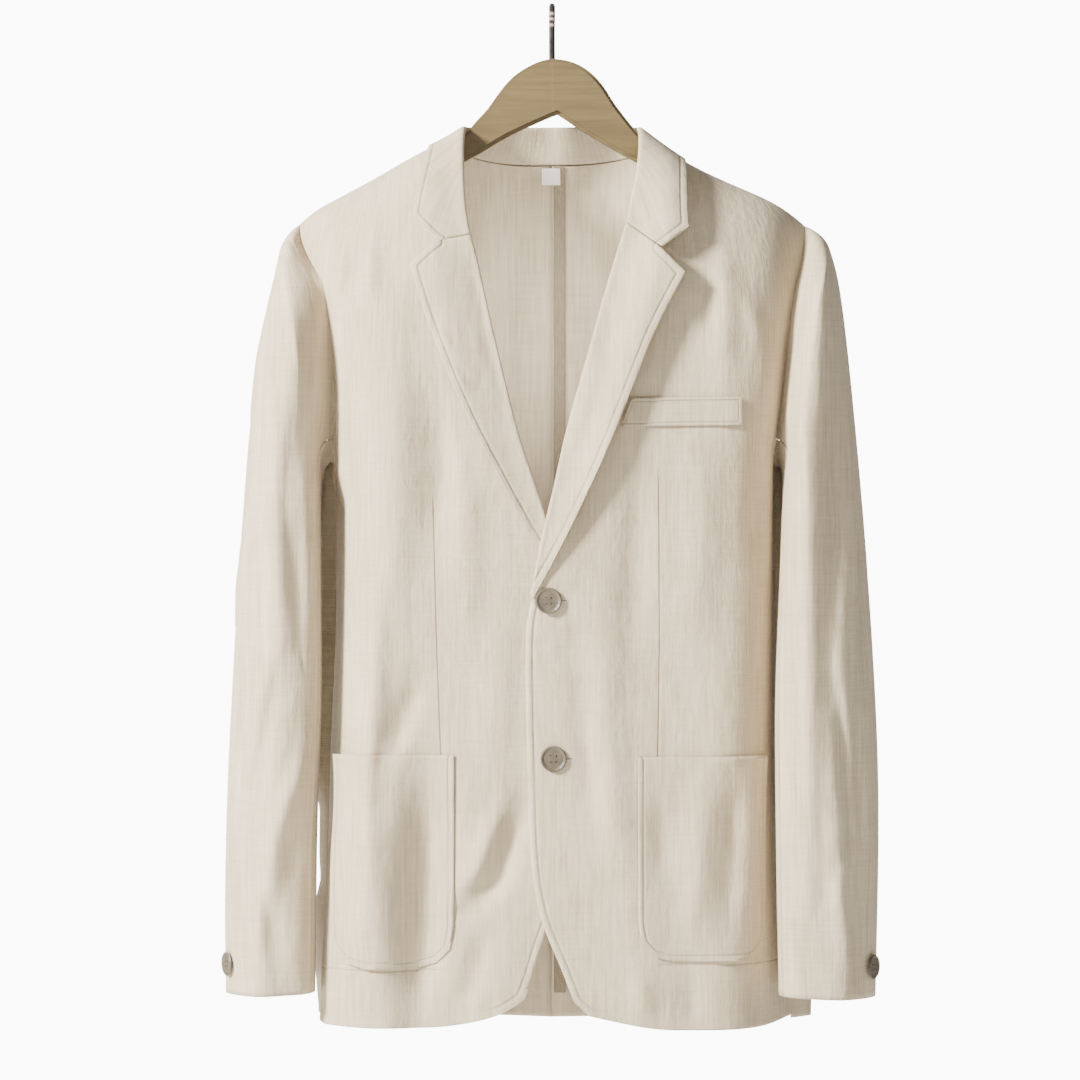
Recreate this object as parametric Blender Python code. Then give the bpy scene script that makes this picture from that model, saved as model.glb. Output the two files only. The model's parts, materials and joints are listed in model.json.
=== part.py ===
"""Single-breasted linen blazer, two buttons and notch lapels, on a flat wooden hanger.

Lengths are in millimetres until a mesh is made. The origin is where the hook bears on what holds it, +Z is up,
and the front of the jacket faces -Y. Left and right are the wearer's own, so the left front is on the +X side.
The jacket is one curved surface, the body, that each panel is cut from. A point of it is given by its side,
and either by how far round it lies from the centre front and its height, or by its distance from the middle
and how far below the shoulder ridge it lies: in front of the ridge that drop is negative, behind it positive.
"""

import functools
import math

import bmesh
import bpy
import numpy as np
from mathutils import Matrix, Vector

MM = 0.001

WALL = 1.4  # one layer of linen with its seams
SEAM_GAP = 0.3  # between two pieces sewn edge to edge
LAY_GAP = 0.8  # under a piece that lies on a panel
LEFT, RIGHT = 1, -1  # the wearer's sides, and the sign of their x

# ---------------------------------------------------------------- the body's form

BODY_COLUMNS = ("z", "front", "corner_x", "corner_y", "side_x", "side_y", "rear_x", "rear_y", "back")
BODY = {
    # front and back: depth at the centre; corner: where the front turns to the side; rear: where the side
    # turns to the back
    LEFT: (
        (-900, 67, 188, 34, 212, 6, 231, 44, 62),
        (-850, 69, 187, 36, 209, 6, 227, 44, 61),
        (-760, 72, 187, 38, 204, 4, 217, 44, 58),
        (-650, 74, 187, 40, 200, 4, 212, 44, 56),
        (-520, 75, 188, 44, 196, 4, 205, 44, 57),
        (-400, 77, 190, 46, 194, 2, 202, 44, 66),
        (-340, 77, 196, 46, 204, 0, 206, 42, 68),
        (-300, 76, 200, 44, 212, 0, 210, 40, 68),
        (-262, 75, 206, 40, 222, 0, 212, 36, 67),
        (-232, 73, 212, 34, 232, 0, 216, 30, 66),
        (-204, 72, 218, 26, 242, 0, 220, 28, 65),
        (-60, 72, 220, 22, 245, 0, 222, 26, 65),
    ),
    RIGHT: (
        (-900, 67, 201, 42, 203, 4, 207, 44, 62),
        (-850, 69, 198, 46, 202, 4, 207, 44, 61),
        (-760, 72, 193, 50, 198, 4, 207, 44, 58),
        (-650, 74, 190, 52, 195, 4, 206, 44, 56),
        (-520, 75, 186, 52, 190, 4, 202, 44, 57),
        (-400, 77, 184, 52, 191, 2, 201, 44, 66),
        (-340, 77, 185, 52, 198, 0, 205, 42, 68),
        (-300, 76, 188, 51, 204, 0, 208, 40, 68),
        (-262, 75, 193, 48, 214, 0, 210, 36, 67),
        (-240, 74, 199, 42, 224, 0, 213, 32, 66),
        (-225, 73, 207, 34, 232, 0, 216, 30, 66),
        (-204, 72, 216, 26, 242, 0, 220, 28, 65),
        (-60, 72, 220, 22, 245, 0, 222, 26, 65),
    ),
}

RIDGE_COLUMNS = ("x", "z")  # the shoulder line, from the middle out to the sleeve head
RIDGE = {
    LEFT: ((0, -61), (60, -96), (93, -118.5), (117, -134), (143, -147), (167, -157.5), (190, -167.6),
           (203, -175), (222, -190), (245, -214)),
    RIGHT: ((0, -61), (60, -96.5), (90, -113.5), (108, -122), (127, -132), (151, -146), (191, -167.6),
            (205, -175), (223, -190), (245, -214)),
}
SHOULDER_ROLL = 130.0  # how far below the ridge the body reaches its full depth
ROLL_POWER = 2.2

FOLD_COLUMNS = ("side", "face", "x_top", "z_top", "x_low", "z_low", "width", "height")
FRONT_FACE, BACK_FACE = -1, 1
FOLDS = (
    # broad soft folds: a positive height stands out, a negative one is a hollow
    (RIGHT, FRONT_FACE, 148, -600, 150, -960, 30, 6.0),
    (RIGHT, FRONT_FACE, 106, -540, 98, -960, 28, -2.0),
    (RIGHT, FRONT_FACE, 58, -610, 62, -960, 24, 2.5),
    (RIGHT, FRONT_FACE, 150, -250, 150, -520, 30, 2.5),
    (LEFT, FRONT_FACE, 150, -480, 140, -960, 26, 3.5),
    (LEFT, FRONT_FACE, 62, -640, 82, -960, 24, 3.5),
    (LEFT, FRONT_FACE, 105, -250, 112, -540, 26, -2.5),
    (RIGHT, BACK_FACE, 120, -250, 128, -960, 32, 6.0),
    (RIGHT, BACK_FACE, 62, -330, 66, -960, 26, -4.0),
    (LEFT, BACK_FACE, 108, -270, 132, -960, 30, 7.0),
    (LEFT, BACK_FACE, 52, -360, 70, -960, 26, -4.0),
)


def through(xs, ys, at):
    """A smooth curve through points in rising order of x that never swings past them."""
    xs, ys = np.asarray(xs, float), np.asarray(ys, float)
    step = np.diff(xs)
    slope = np.diff(ys) / step
    tangent = np.concatenate(([slope[0]], np.zeros(len(xs) - 2), [slope[-1]]))
    for k in range(1, len(xs) - 1):
        if slope[k - 1] * slope[k] > 0:
            near, far = 2 * step[k] + step[k - 1], step[k] + 2 * step[k - 1]
            tangent[k] = (near + far) / (near / slope[k - 1] + far / slope[k])
    at = np.clip(at, xs[0], xs[-1])
    k = np.clip(np.searchsorted(xs, at) - 1, 0, len(step) - 1)
    t = (at - xs[k]) / step[k]
    rise = ys[k] * (1 + 2 * t) * (1 - t) ** 2 + ys[k + 1] * t * t * (3 - 2 * t)
    return rise + step[k] * (tangent[k] * t * (1 - t) ** 2 - tangent[k + 1] * t * t * (1 - t))


def column(columns, rows, name):
    return np.array([row[columns.index(name)] for row in rows], float)


def read(columns, rows, name, at):
    """One column of a table, read at any value of its first column."""
    return through(column(columns, rows, columns[0]), column(columns, rows, name), at)


def ridge(side, x):
    return float(read(RIDGE_COLUMNS, RIDGE[side], "z", abs(x)))


SECTION_STEPS = 14


@functools.lru_cache(maxsize=None)
def section(side, z):
    """The body cut level at a height: distance round from the centre front, x, and depth, from front to back."""
    row = {name: float(read(BODY_COLUMNS, BODY[side], name, z)) for name in BODY_COLUMNS[1:]}
    front, back = row["front"], row["back"]
    corner_x, corner_y, rear_x, rear_y = row["corner_x"], row["corner_y"], row["rear_x"], row["rear_y"]
    knots = np.array((
        (-0.3 * corner_x, -front),
        (0, -front),
        (0.32 * corner_x, -front),
        (0.64 * corner_x, -0.97 * front),
        (0.87 * corner_x, -0.76 * front - 0.2 * corner_y),
        (corner_x, -corner_y),
        (row["side_x"], row["side_y"]),
        (rear_x - 1, rear_y - 13),
        (rear_x - 11, rear_y + 2),
        (0.84 * rear_x, 0.68 * back + 0.27 * rear_y),
        (0.56 * rear_x, 0.98 * back),
        (0.28 * rear_x, back),
        (0, back),
        (-0.28 * rear_x, back),
    ))
    reach = np.concatenate(([0], np.cumsum(np.sqrt(np.linalg.norm(np.diff(knots, axis=0), axis=1)))))
    line = []
    for k in range(1, len(knots) - 2):
        t = np.linspace(reach[k], reach[k + 1], SECTION_STEPS, endpoint=False)[:, None]
        p, r = knots[k - 1:k + 3], reach[k - 1:k + 3]
        a = [((r[i + 1] - t) * p[i] + (t - r[i]) * p[i + 1]) / (r[i + 1] - r[i]) for i in range(3)]
        b = [((r[i + 2] - t) * a[i] + (t - r[i]) * a[i + 1]) / (r[i + 2] - r[i]) for i in range(2)]
        line.append(((r[2] - t) * b[0] + (t - r[1]) * b[1]) / (r[2] - r[1]))
    line = np.vstack(line + [knots[-2]])
    round_ = np.concatenate(([0], np.cumsum(np.linalg.norm(np.diff(line, axis=0), axis=1))))
    side_round = round_[5 * SECTION_STEPS]
    return round_, line[:, 0], line[:, 1], side_round


def side_of(side, z):
    """How far round the side seam lies."""
    return section(side, round(z, 3))[3]


def round_at(side, x, z, face):
    """How far round the point at x lies, on the front or the back face."""
    round_, xs, _, side_round = section(side, round(z, 3))
    if face == FRONT_FACE:
        if x <= 0:
            return float(x)
        most = 5 * SECTION_STEPS + 1
        return float(np.interp(x, xs[:most], round_[:most]))
    first = 6 * SECTION_STEPS if xs[6 * SECTION_STEPS] > xs[5 * SECTION_STEPS] else 5 * SECTION_STEPS
    if x <= 0:
        return float(round_[-1] - x)
    return float(np.interp(x, xs[first:][::-1], round_[first:][::-1]))


def fold_height(side, face, x, z):
    total = 0.0
    for row in FOLDS:
        fold = dict(zip(FOLD_COLUMNS, row))
        if fold["side"] != side or fold["face"] != face:
            continue
        along = (z - fold["z_top"]) / (fold["z_low"] - fold["z_top"])
        if along <= 0:
            continue
        middle = fold["x_top"] + along * (fold["x_low"] - fold["x_top"])
        ease = min(1.0, 3.0 * along)
        ease = ease * ease * (3 - 2 * ease)
        total += fold["height"] * ease * math.exp(-(((x - middle) / fold["width"]) ** 2))
    return total


def body_point(side, round_, z, face=None):
    """The point of the body this far round its side at this height."""
    lengths, xs, ys, side_round = section(side, round(z, 3))
    if round_ < 0:
        x, y = round_, ys[0]
    elif round_ > lengths[-1]:
        x, y = lengths[-1] - round_, ys[-1]
    else:
        x, y = float(np.interp(round_, lengths, xs)), float(np.interp(round_, lengths, ys))
    face = face or (FRONT_FACE if round_ < side_round else BACK_FACE)
    drop = max(ridge(side, x) - z, 0.0)
    rise = 1 - min(drop / SHOULDER_ROLL, 1.0)
    y *= (1 - rise ** ROLL_POWER) ** (1 / ROLL_POWER)
    y += face * fold_height(side, face, abs(x), z)
    return np.array((side * x, y, z))


def normal_of(across, down, outward):
    normal = np.cross(across, down)
    normal /= np.linalg.norm(normal)
    return normal if normal @ outward > 0 else -normal


def body(side, round_, z):
    """A point low on the body, and the way that faces out there."""
    step = 1.0
    point = body_point(side, round_, z)
    across = body_point(side, round_ + step, z) - body_point(side, round_ - step, z)
    down = body_point(side, round_, z - step) - body_point(side, round_, z + step)
    return point, normal_of(across, down, point * (1, 1, 0) + (0, 0, 1e-6))


def shoulder_point(side, x, drop):
    z = ridge(side, x) - abs(drop)
    face = BACK_FACE if drop > 0 else FRONT_FACE
    point = body_point(side, round_at(side, x, z, face), z, face)
    if drop == 0:
        point[1] = 0.0
    return point


def shoulder(side, x, drop):
    """A point high on the body, by its drop from the ridge, and the way that faces out there."""
    step = 0.6
    point = shoulder_point(side, x, drop)
    across = shoulder_point(side, x + step, drop) - shoulder_point(side, x - step, drop)
    down = shoulder_point(side, x, drop + step) - shoulder_point(side, x, drop - step)
    return point, normal_of(across, down, np.array((0, np.sign(drop) if drop else 0, 1.0)))


# ---------------------------------------------------------------- meshes


def material(name, color, roughness, metallic=0.0):
    made = bpy.data.materials.new(name)
    made.use_nodes = True
    shader = made.node_tree.nodes["Principled BSDF"]
    shader.inputs["Base Color"].default_value = (*color, 1)
    shader.inputs["Roughness"].default_value = roughness
    shader.inputs["Metallic"].default_value = metallic
    made.diffuse_color = (*color, 1)
    return made


def add_object(name, points, faces, finish, smooth_angle=40):
    mesh = bpy.data.meshes.new(name)
    mesh.from_pydata([tuple(p) for p in np.asarray(points) * MM], [], faces)
    mesh.validate()
    shape = bmesh.new()
    shape.from_mesh(mesh)
    bmesh.ops.recalc_face_normals(shape, faces=shape.faces)
    shape.to_mesh(mesh)
    shape.free()
    mesh.shade_smooth()
    mesh.set_sharp_from_angle(angle=math.radians(smooth_angle))
    mesh.materials.append(finish)
    made = bpy.data.objects.new(name, mesh)
    bpy.context.scene.collection.objects.link(made)
    return made


def wall(name, outer, inner, finish):
    """A closed cloth wall between two grids of points of the same shape, one for each face."""
    rows, columns = outer.shape[:2]
    count = rows * columns

    def at(row, column_, face):
        return face * count + row * columns + column_

    faces = []
    for row in range(rows - 1):
        for column_ in range(columns - 1):
            square = ((row, column_), (row, column_ + 1), (row + 1, column_ + 1), (row + 1, column_))
            faces.append([at(*corner, 0) for corner in square])
            faces.append([at(*corner, 1) for corner in reversed(square)])
    rim = [(0, c) for c in range(columns)] + [(r, columns - 1) for r in range(1, rows)]
    rim += [(rows - 1, c) for c in range(columns - 2, -1, -1)] + [(r, 0) for r in range(rows - 2, 0, -1)]
    for here, there in zip(rim, rim[1:] + rim[:1]):
        faces.append([at(*there, 0), at(*here, 0), at(*here, 1), at(*there, 1)])
    points = np.vstack((outer.reshape(-1, 3), inner.reshape(-1, 3)))
    return add_object(name, points, faces, finish)


def panel(name, grid, finish, lift=0.0, thickness=WALL):
    """A cloth wall whose outer face is a grid of points and normals, moved out by lift."""
    points = np.array([[point for point, _ in row] for row in grid])
    normals = np.array([[normal for _, normal in row] for row in grid])
    lift = np.asarray(lift, float)
    lift = lift[..., None] if lift.ndim else lift
    outer = points + normals * lift
    return wall(name, outer, outer - normals * thickness, finish)


# ---------------------------------------------------------------- collar and lapels

COLLAR_COLUMNS = ("seam_x", "seam_drop", "fold_x", "fold_drop", "outer_x", "outer_drop")
COLLAR = {
    # from the centre back over the shoulder to the front; the last line is bent at the notch
    RIGHT: (
        (0, 70, 0, 37.5, 0, 87),
        (17, 60.1, 14, 29.6, 18.5, 75.7),
        (33, 50.3, 28, 21.8, 36, 64.2),
        (48, 40.4, 40.5, 15.2, 53, 52),
        (62, 30.1, 52, 9.4, 70, 38.6),
        (73, 20.8, 60.5, 5.2, 84, 25.8),
        (82, 11.5, 67.5, 2.2, 96, 13),
        (87.6, 4.2, 71.8, 0.7, 103, 4.8),
        (89.4, 1.2, 73.4, 0.12, 105.3, 1.2),
        (90, 0, 74, 0, 106, 0),
        (90.4, -1.2, 74.4, -1.2, 106.5, -1.2),
        (91, -6, 75.2, -5.5, 107.6, -5),
        (90.5, -20, 75.8, -19, 110, -15),
        (88.5, -37, 75.7, -35, 113.5, -28),
        (85.5, -54, 75.2, -52, 117, -42),
        (82, -69, 74.6, -67, 119.7, -54),
        (77.5, -86, 73, -85, 119.5, -58),
        (72, -101, 70, -101.2, 119.3, -61),
    ),
    LEFT: (
        (0, 70, 0, 37.5, 0, 87),
        (17, 60.1, 14, 29.6, 18.5, 75.7),
        (33, 50.3, 28, 21.8, 36, 64.2),
        (48, 40.4, 40.5, 15.2, 53.5, 52),
        (62, 30.1, 52, 9.4, 72, 38.2),
        (73, 20.8, 60.3, 5.2, 88, 25.2),
        (82, 11.5, 67, 2.2, 102, 13),
        (88.6, 4.2, 71.4, 0.7, 111.5, 4.8),
        (90.5, 1.2, 73, 0.12, 114.4, 1.2),
        (91, 0, 73.5, 0, 115, 0),
        (91.3, -1.2, 73.8, -1.2, 115.1, -1.2),
        (91.5, -6.5, 74.3, -6, 115.4, -5.5),
        (90, -21, 74, -20, 115.5, -16),
        (87, -37, 73, -34, 115.5, -28),
        (82.5, -53, 71, -50, 115.6, -40),
        (77.5, -67, 68.5, -64, 116, -52),
        (71.5, -82, 65.8, -80, 116.6, -61),
        (65, -95, 63, -94.5, 116.7, -64.4),
    ),
}
SHOULDER_LINE = 9  # the line of the collar that lies on the shoulder seam
NOTCH = {RIGHT: (100.2, -90.7), LEFT: (93.7, -97)}  # x and drop, where collar and lapel part
COLLAR_ROLL, COLLAR_EDGE = 4.2, 2.7  # height of the fall's top over the body, at the fold and at its edge

LAPEL_COLUMNS = ("roll_x", "roll_z", "outer_x", "outer_z")
LAPEL = {
    # down the roll line from the gorge; the first line is bent at the notch
    RIGHT: (
        (69.8, -204.2, 122, -230.3),
        (64, -223, 119.3, -240),
        (56.6, -260.3, 110.7, -269),
        (48, -298, 98, -303),
        (39.8, -332, 86, -333),
        (29.4, -375, 67, -374),
        (19.2, -405, 49.7, -405),
        (7.1, -439.4, 29.4, -443.7),
        (-2, -470, 9, -480),
        (-9.5, -496, -5, -502),
        (-14, -513, -12.5, -514.5),
    ),
    LEFT: (
        (62.6, -193.2, 114.3, -237.4),
        (57.6, -209, 110, -245),
        (49, -238, 100, -263),
        (38, -278, 85.7, -291.5),
        (28.3, -314, 74, -322),
        (18.2, -348, 60, -358),
        (9, -382, 47, -390),
        (1.5, -420, 30, -427),
        (-7.5, -456, 9, -470),
        (-14, -488, -5, -496),
        (-18.6, -515.5, -17, -517.5),
    ),
}
LAPEL_ROLL, LAPEL_EDGE, LAPEL_BREAK = 4.4, 2.5, 2.5  # heights of the lapel's top over the front
FOLD_TURNS = (-45, 0, 45)  # degrees round the fold, between its two layers
FALL_STEPS = 6


def lapped(side, x, z):
    """How far the left front lies out over the right front and its lapel, near the middle."""
    if side == RIGHT:
        return 0.0
    fade = np.clip((62 - x) / 40, 0, 1)
    over_lapel = np.clip((z + 560) / 40, 0, 1) * np.clip((-405 - z) / 30, 0, 1)
    below = np.clip((-430 - z) / 30, 0, 1)
    return float(fade * fade * (3 - 2 * fade) * (2.2 * below + 3.8 * over_lapel))


def on_shoulder(side, x, drop, out):
    point, normal = shoulder(side, x, drop)
    return point + normal * (out + lapped(side, x, point[2]))


def turned(side, seam, fold, line, roll, edge):
    """One line across a turned-down piece: up to the fold, round it and out along the line to the edge.

    Gives the face that shows and the face behind it.
    """
    fold, line = np.array(fold, float), [np.array(p, float) for p in line]
    out_way = line[0] - fold
    base = fold + out_way / np.linalg.norm(out_way) * (roll + WALL) / 2
    shown, behind = [], []
    if seam is not None:
        for part in (0, 0.5):
            x, drop = np.array(seam) + part * (base - np.array(seam))
            shown.append(on_shoulder(side, x, drop, -WALL))
            behind.append(on_shoulder(side, x, drop, 0))
    centre = on_shoulder(side, *base, (roll - WALL) / 2)
    up = on_shoulder(side, *base, roll) - centre
    up /= np.linalg.norm(up)
    inward = on_shoulder(side, *base, 0) - on_shoulder(side, *(base + out_way / np.linalg.norm(out_way)), 0)
    inward -= up * (inward @ up)
    inward /= np.linalg.norm(inward)
    for turn in (-90, *FOLD_TURNS, 90):
        way = inward * math.cos(math.radians(turn)) + up * math.sin(math.radians(turn))
        shown.append(centre + way * (roll + WALL) / 2)
        behind.append(centre + way * (roll - WALL) / 2)
    corners = [base] + line
    lengths = np.concatenate(([0], np.cumsum([np.linalg.norm(b - a) for a, b in zip(corners, corners[1:])])))
    for step in range(1, FALL_STEPS + 1):
        part = step / FALL_STEPS
        x, drop = (np.interp(part * lengths[-1], lengths, [c[i] for c in corners]) for i in (0, 1))
        height = edge + (roll - edge) * (1 - part) ** 1.5
        shown.append(on_shoulder(side, x, drop, height))
        behind.append(on_shoulder(side, x, drop, height - WALL))
    return shown, behind


def make_collar(finish):
    lines = []
    for side in (RIGHT, LEFT):
        half = []
        for k, row in enumerate(COLLAR[side]):
            seam_x, seam_drop, fold_x, fold_drop, outer_x, outer_drop = row
            path = [(outer_x, outer_drop)]
            if k == len(COLLAR[side]) - 1:
                path.insert(0, NOTCH[side])
            half.append(turned(side, (seam_x, seam_drop), (fold_x, fold_drop), path, COLLAR_ROLL, COLLAR_EDGE))
        lines += half[::-1] if side == RIGHT else half[1:]
    shown, behind = (np.array([line[face] for line in lines]) for face in (0, 1))
    return wall("collar", shown, behind, finish)


def drop_of(side, x, z):
    return z - ridge(side, x)


def make_lapel(name, side, finish):
    lines = []
    notch_x, notch_drop = NOTCH[side]
    gorge_gap = 0.5
    last = len(LAPEL[side]) - 1
    for k, (roll_x, roll_z, outer_x, outer_z) in enumerate(LAPEL[side]):
        path = [(outer_x, drop_of(side, outer_x, outer_z))]
        if k == 0:
            path.insert(0, (notch_x, notch_drop - gorge_gap))
        flat = (k / last) ** 2
        roll = LAPEL_ROLL + (LAPEL_BREAK - LAPEL_ROLL) * flat
        fold = (roll_x, drop_of(side, roll_x, roll_z))
        lines.append(turned(side, None, fold, path, roll, LAPEL_EDGE))
    shown, behind = (np.array([line[face] for line in lines]) for face in (0, 1))
    return wall(name, shown, behind, finish)


# ---------------------------------------------------------------- fronts and backs

ARMHOLE_COLUMNS = ("z", "front_x", "back_x")
ARMHOLE = {
    RIGHT: ((-330, 190, 196), (-300, 192, 198), (-262, 196, 202), (-240, 200, 206), (-225, 210, 211),
            (-215, 217, 214.5), (-204, 220.5, 218.3), (-190, 222, 222)),
    LEFT: ((-330, 202, 202), (-300, 205.5, 204), (-262, 209, 206), (-240, 214, 209), (-225, 218, 213),
           (-215, 220, 216), (-204, 221.5, 219), (-190, 222, 222)),
}
UNDERARM_FROM, UNDERARM = -330, -400  # the armhole's round lower end
SHOULDER_DROPS = (0, 1.2, 5, 14, 30, 55, 82, 110, 140, 166, 188, 202, 210)  # at the armhole, tip to underarm
LEVEL_FROM = 140  # below this drop the rows run level
BODY_LEVELS = (-424, -450, -478, -506, -534, -563, -592, -621, -650, -679, -708, -738, -768)
HEM_PARTS = (0.28, 0.52, 0.72, 0.88, 1.0)  # of the way from the last level to the hem
PANEL_COLUMNS = 12
BACK_COLUMNS = 11
NECK_COLUMNS = (0, 1, 2, 4, 6, 9)  # the collar's lines that the back's first columns start from

EDGE_COLUMNS = ("z", "x")
FRONT_EDGE = {
    # from the break of the lapel down to the round lower corner
    LEFT: ((-877, 31), (-868.5, 20.1), (-847.3, 11.7), (-827.4, 3.6), (-802.7, -8), (-770, -16.1),
           (-728.7, -20.2), (-690, -21.2), (-615, -23.2), (-563, -23.9), (-529, -22.6), (-522, -20), (-516.5, -16.2)),
    RIGHT: ((-876, 42), (-868, 28), (-855, 19.5), (-835, 14), (-812, 7), (-785, -3), (-755, -10.5),
            (-725, -14), (-690, -15.2), (-600, -15.5), (-540, -15.2), (-514, -14.2)),
}
HEM_COLUMNS = ("part", "drop")
FRONT_HEM = {
    # below the lower corner, by the part of the way from the front edge to the side seam
    LEFT: ((0, 0), (0.1, 5), (0.35, 13), (0.7, 12.5), (1, 8)),
    RIGHT: ((0, 0), (0.1, 5.6), (0.3, 12), (0.7, 11), (1, 6)),
}
BACK_HEM = {LEFT: (-888, -894), RIGHT: (-884, -894)}  # at the side seam and the centre back


def edge_x(side, z):
    """The panel's inner edge: the roll line's base, then the front edge."""
    lapel = LAPEL[side]
    if z < lapel[-1][1]:
        return float(read(EDGE_COLUMNS, FRONT_EDGE[side], "x", z))
    heights = column(LAPEL_COLUMNS, lapel, "roll_z")[::-1]
    flat = through(heights, (np.arange(len(lapel))[::-1] / (len(lapel) - 1)) ** 2, z)
    roll = LAPEL_ROLL + (LAPEL_BREAK - LAPEL_ROLL) * flat
    return float(through(heights, column(LAPEL_COLUMNS, lapel, "roll_x")[::-1], z) + (roll + WALL) / 2)


def neck_line(side, drops):
    """The neck seam's x at each drop, on the front."""
    rows = COLLAR[side][SHOULDER_LINE:]
    return through(column(COLLAR_COLUMNS, rows, "seam_drop")[::-1], column(COLLAR_COLUMNS, rows, "seam_x")[::-1], drops)


def inner_edge(side, z, drop):
    """The front's inner edge at a height or, above the gorge, at a drop below the ridge."""
    gorge_drop = COLLAR[side][-1][1]
    if drop is not None and -drop > gorge_drop:
        return float(neck_line(side, -drop)) + SEAM_GAP + 0.5
    return edge_x(side, z) + 2 * SEAM_GAP


def spread(part):
    """Columns stand closer together near the side, where the cloth turns."""
    return 1 - (1 - part) ** 1.25


def row_rounds(side, face, start, end, z, columns):
    """How far round each column of a row stands.

    High up the columns share out the way to the armhole. Lower down they keep the places that they have below
    it, and only the last ones give way to the armhole.
    """
    whole = side_of(side, z) + face * SEAM_GAP / 2
    low = np.clip((-225 - z) / 165, 0, 1)
    low = low * low * (3 - 2 * low)
    rounds = []
    for k in range(columns + 1):
        far = spread(k / columns)
        shared = start + far * (end - start)
        kept = start + far * (whole - start)
        most = end + face * 5.0 * (columns - k)
        kept = min(kept, most) if face == FRONT_FACE else max(kept, most)
        rounds.append(shared + low * (kept - shared))
    return rounds


def shoulder_rows(side, face, inner_at, columns):
    """Rows from the ridge to the level rows, each from the inner edge to the armhole."""
    rows = []
    arm = "front_x" if face == FRONT_FACE else "back_x"
    tip_x = float(read(ARMHOLE_COLUMNS, ARMHOLE[side], arm, ARMHOLE[side][-1][0]))
    tip_z = ridge(side, tip_x)
    for drop in SHOULDER_DROPS:
        if drop > LEVEL_FROM:
            break
        out_z = tip_z - drop
        out_x = float(read(ARMHOLE_COLUMNS, ARMHOLE[side], arm, out_z)) - SEAM_GAP
        in_x, in_drop = inner_at(drop)
        row = []
        start = round_at(side, in_x, ridge(side, in_x) - in_drop, face)
        end = round_at(side, out_x, out_z, face)
        rounds = row_rounds(side, face, start, end, out_z, columns)
        for part, at in zip(np.linspace(0, 1, columns + 1), rounds):
            far = spread(part)
            x = in_x + far * (out_x - in_x)
            out_drop = ridge(side, out_x) - out_z
            here = in_drop + far * (out_drop - in_drop)
            if drop == 0:
                point, normal = shoulder(side, x, 0)
                row.append((point + np.array((0, face * SEAM_GAP / 2, 0)), normal))
                continue
            if drop < 40:
                row.append(shoulder(side, x, face * here))
                continue
            row.append(body(side, at, ridge(side, x) - here))
        rows.append(row)
    return rows, tip_z


def front_grid(side):
    level_z = ARMHOLE_TIP[side] - LEVEL_FROM

    def inner_at(drop):
        neck_x = float(neck_line(side, 0))
        span = ridge(side, neck_x) - level_z
        here = drop * (1 + (span / LEVEL_FROM - 1) * (drop / LEVEL_FROM) ** 0.6)
        x = neck_x
        for _ in range(8):  # the edge's x and the ridge above it depend on each other
            x = inner_edge(side, ridge(side, x) - here, here)
            here_z = ridge(side, neck_x) - drop * (1 + (span / LEVEL_FROM - 1) * (drop / LEVEL_FROM) ** 0.6)
            here = max(ridge(side, x) - here_z, 0.0)
        return x, here

    rows, tip_z = shoulder_rows(side, FRONT_FACE, inner_at, PANEL_COLUMNS)
    levels = [tip_z - drop for drop in SHOULDER_DROPS if drop > LEVEL_FROM] + list(BODY_LEVELS)
    for z in levels:
        start = round_at(side, inner_edge(side, z, None), z, FRONT_FACE)
        rounds = row_rounds(side, FRONT_FACE, start, front_limit(side, z), z, PANEL_COLUMNS)
        rows.append([body(side, at, z) for at in rounds])
    corner_z = FRONT_EDGE[side][0][0]
    for way in HEM_PARTS:
        edge_z = BODY_LEVELS[-1] + way * (corner_z - BODY_LEVELS[-1])
        start = round_at(side, inner_edge(side, edge_z, None), edge_z, FRONT_FACE)
        row = []
        for part in np.linspace(0, 1, PANEL_COLUMNS + 1):
            far = spread(part)
            z = edge_z - way * float(read(HEM_COLUMNS, FRONT_HEM[side], "drop", far))
            row.append(body(side, start + far * (front_limit(side, z) - start), z))
        rows.append(row)
    return rows


def seam_round(side, z, face):
    """How far round the armhole seam lies, or the side seam below it."""
    arm = "front_x" if face == FRONT_FACE else "back_x"
    if z >= UNDERARM_FROM:
        return round_at(side, float(read(ARMHOLE_COLUMNS, ARMHOLE[side], arm, z)), z, face)
    x = float(read(ARMHOLE_COLUMNS, ARMHOLE[side], arm, UNDERARM_FROM))
    reach = round_at(side, x, UNDERARM_FROM, face) - side_of(side, UNDERARM_FROM)
    down = min((UNDERARM_FROM - z) / (UNDERARM_FROM - UNDERARM), 1.0)
    return side_of(side, z) + reach * math.sqrt(1 - down * down)


def front_limit(side, z):
    return seam_round(side, z, FRONT_FACE) - SEAM_GAP / 2


def back_limit(side, z):
    return seam_round(side, z, BACK_FACE) + SEAM_GAP / 2


ARMHOLE_TIP = {side: ridge(side, ARMHOLE[side][-1][1]) for side in (LEFT, RIGHT)}


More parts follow.
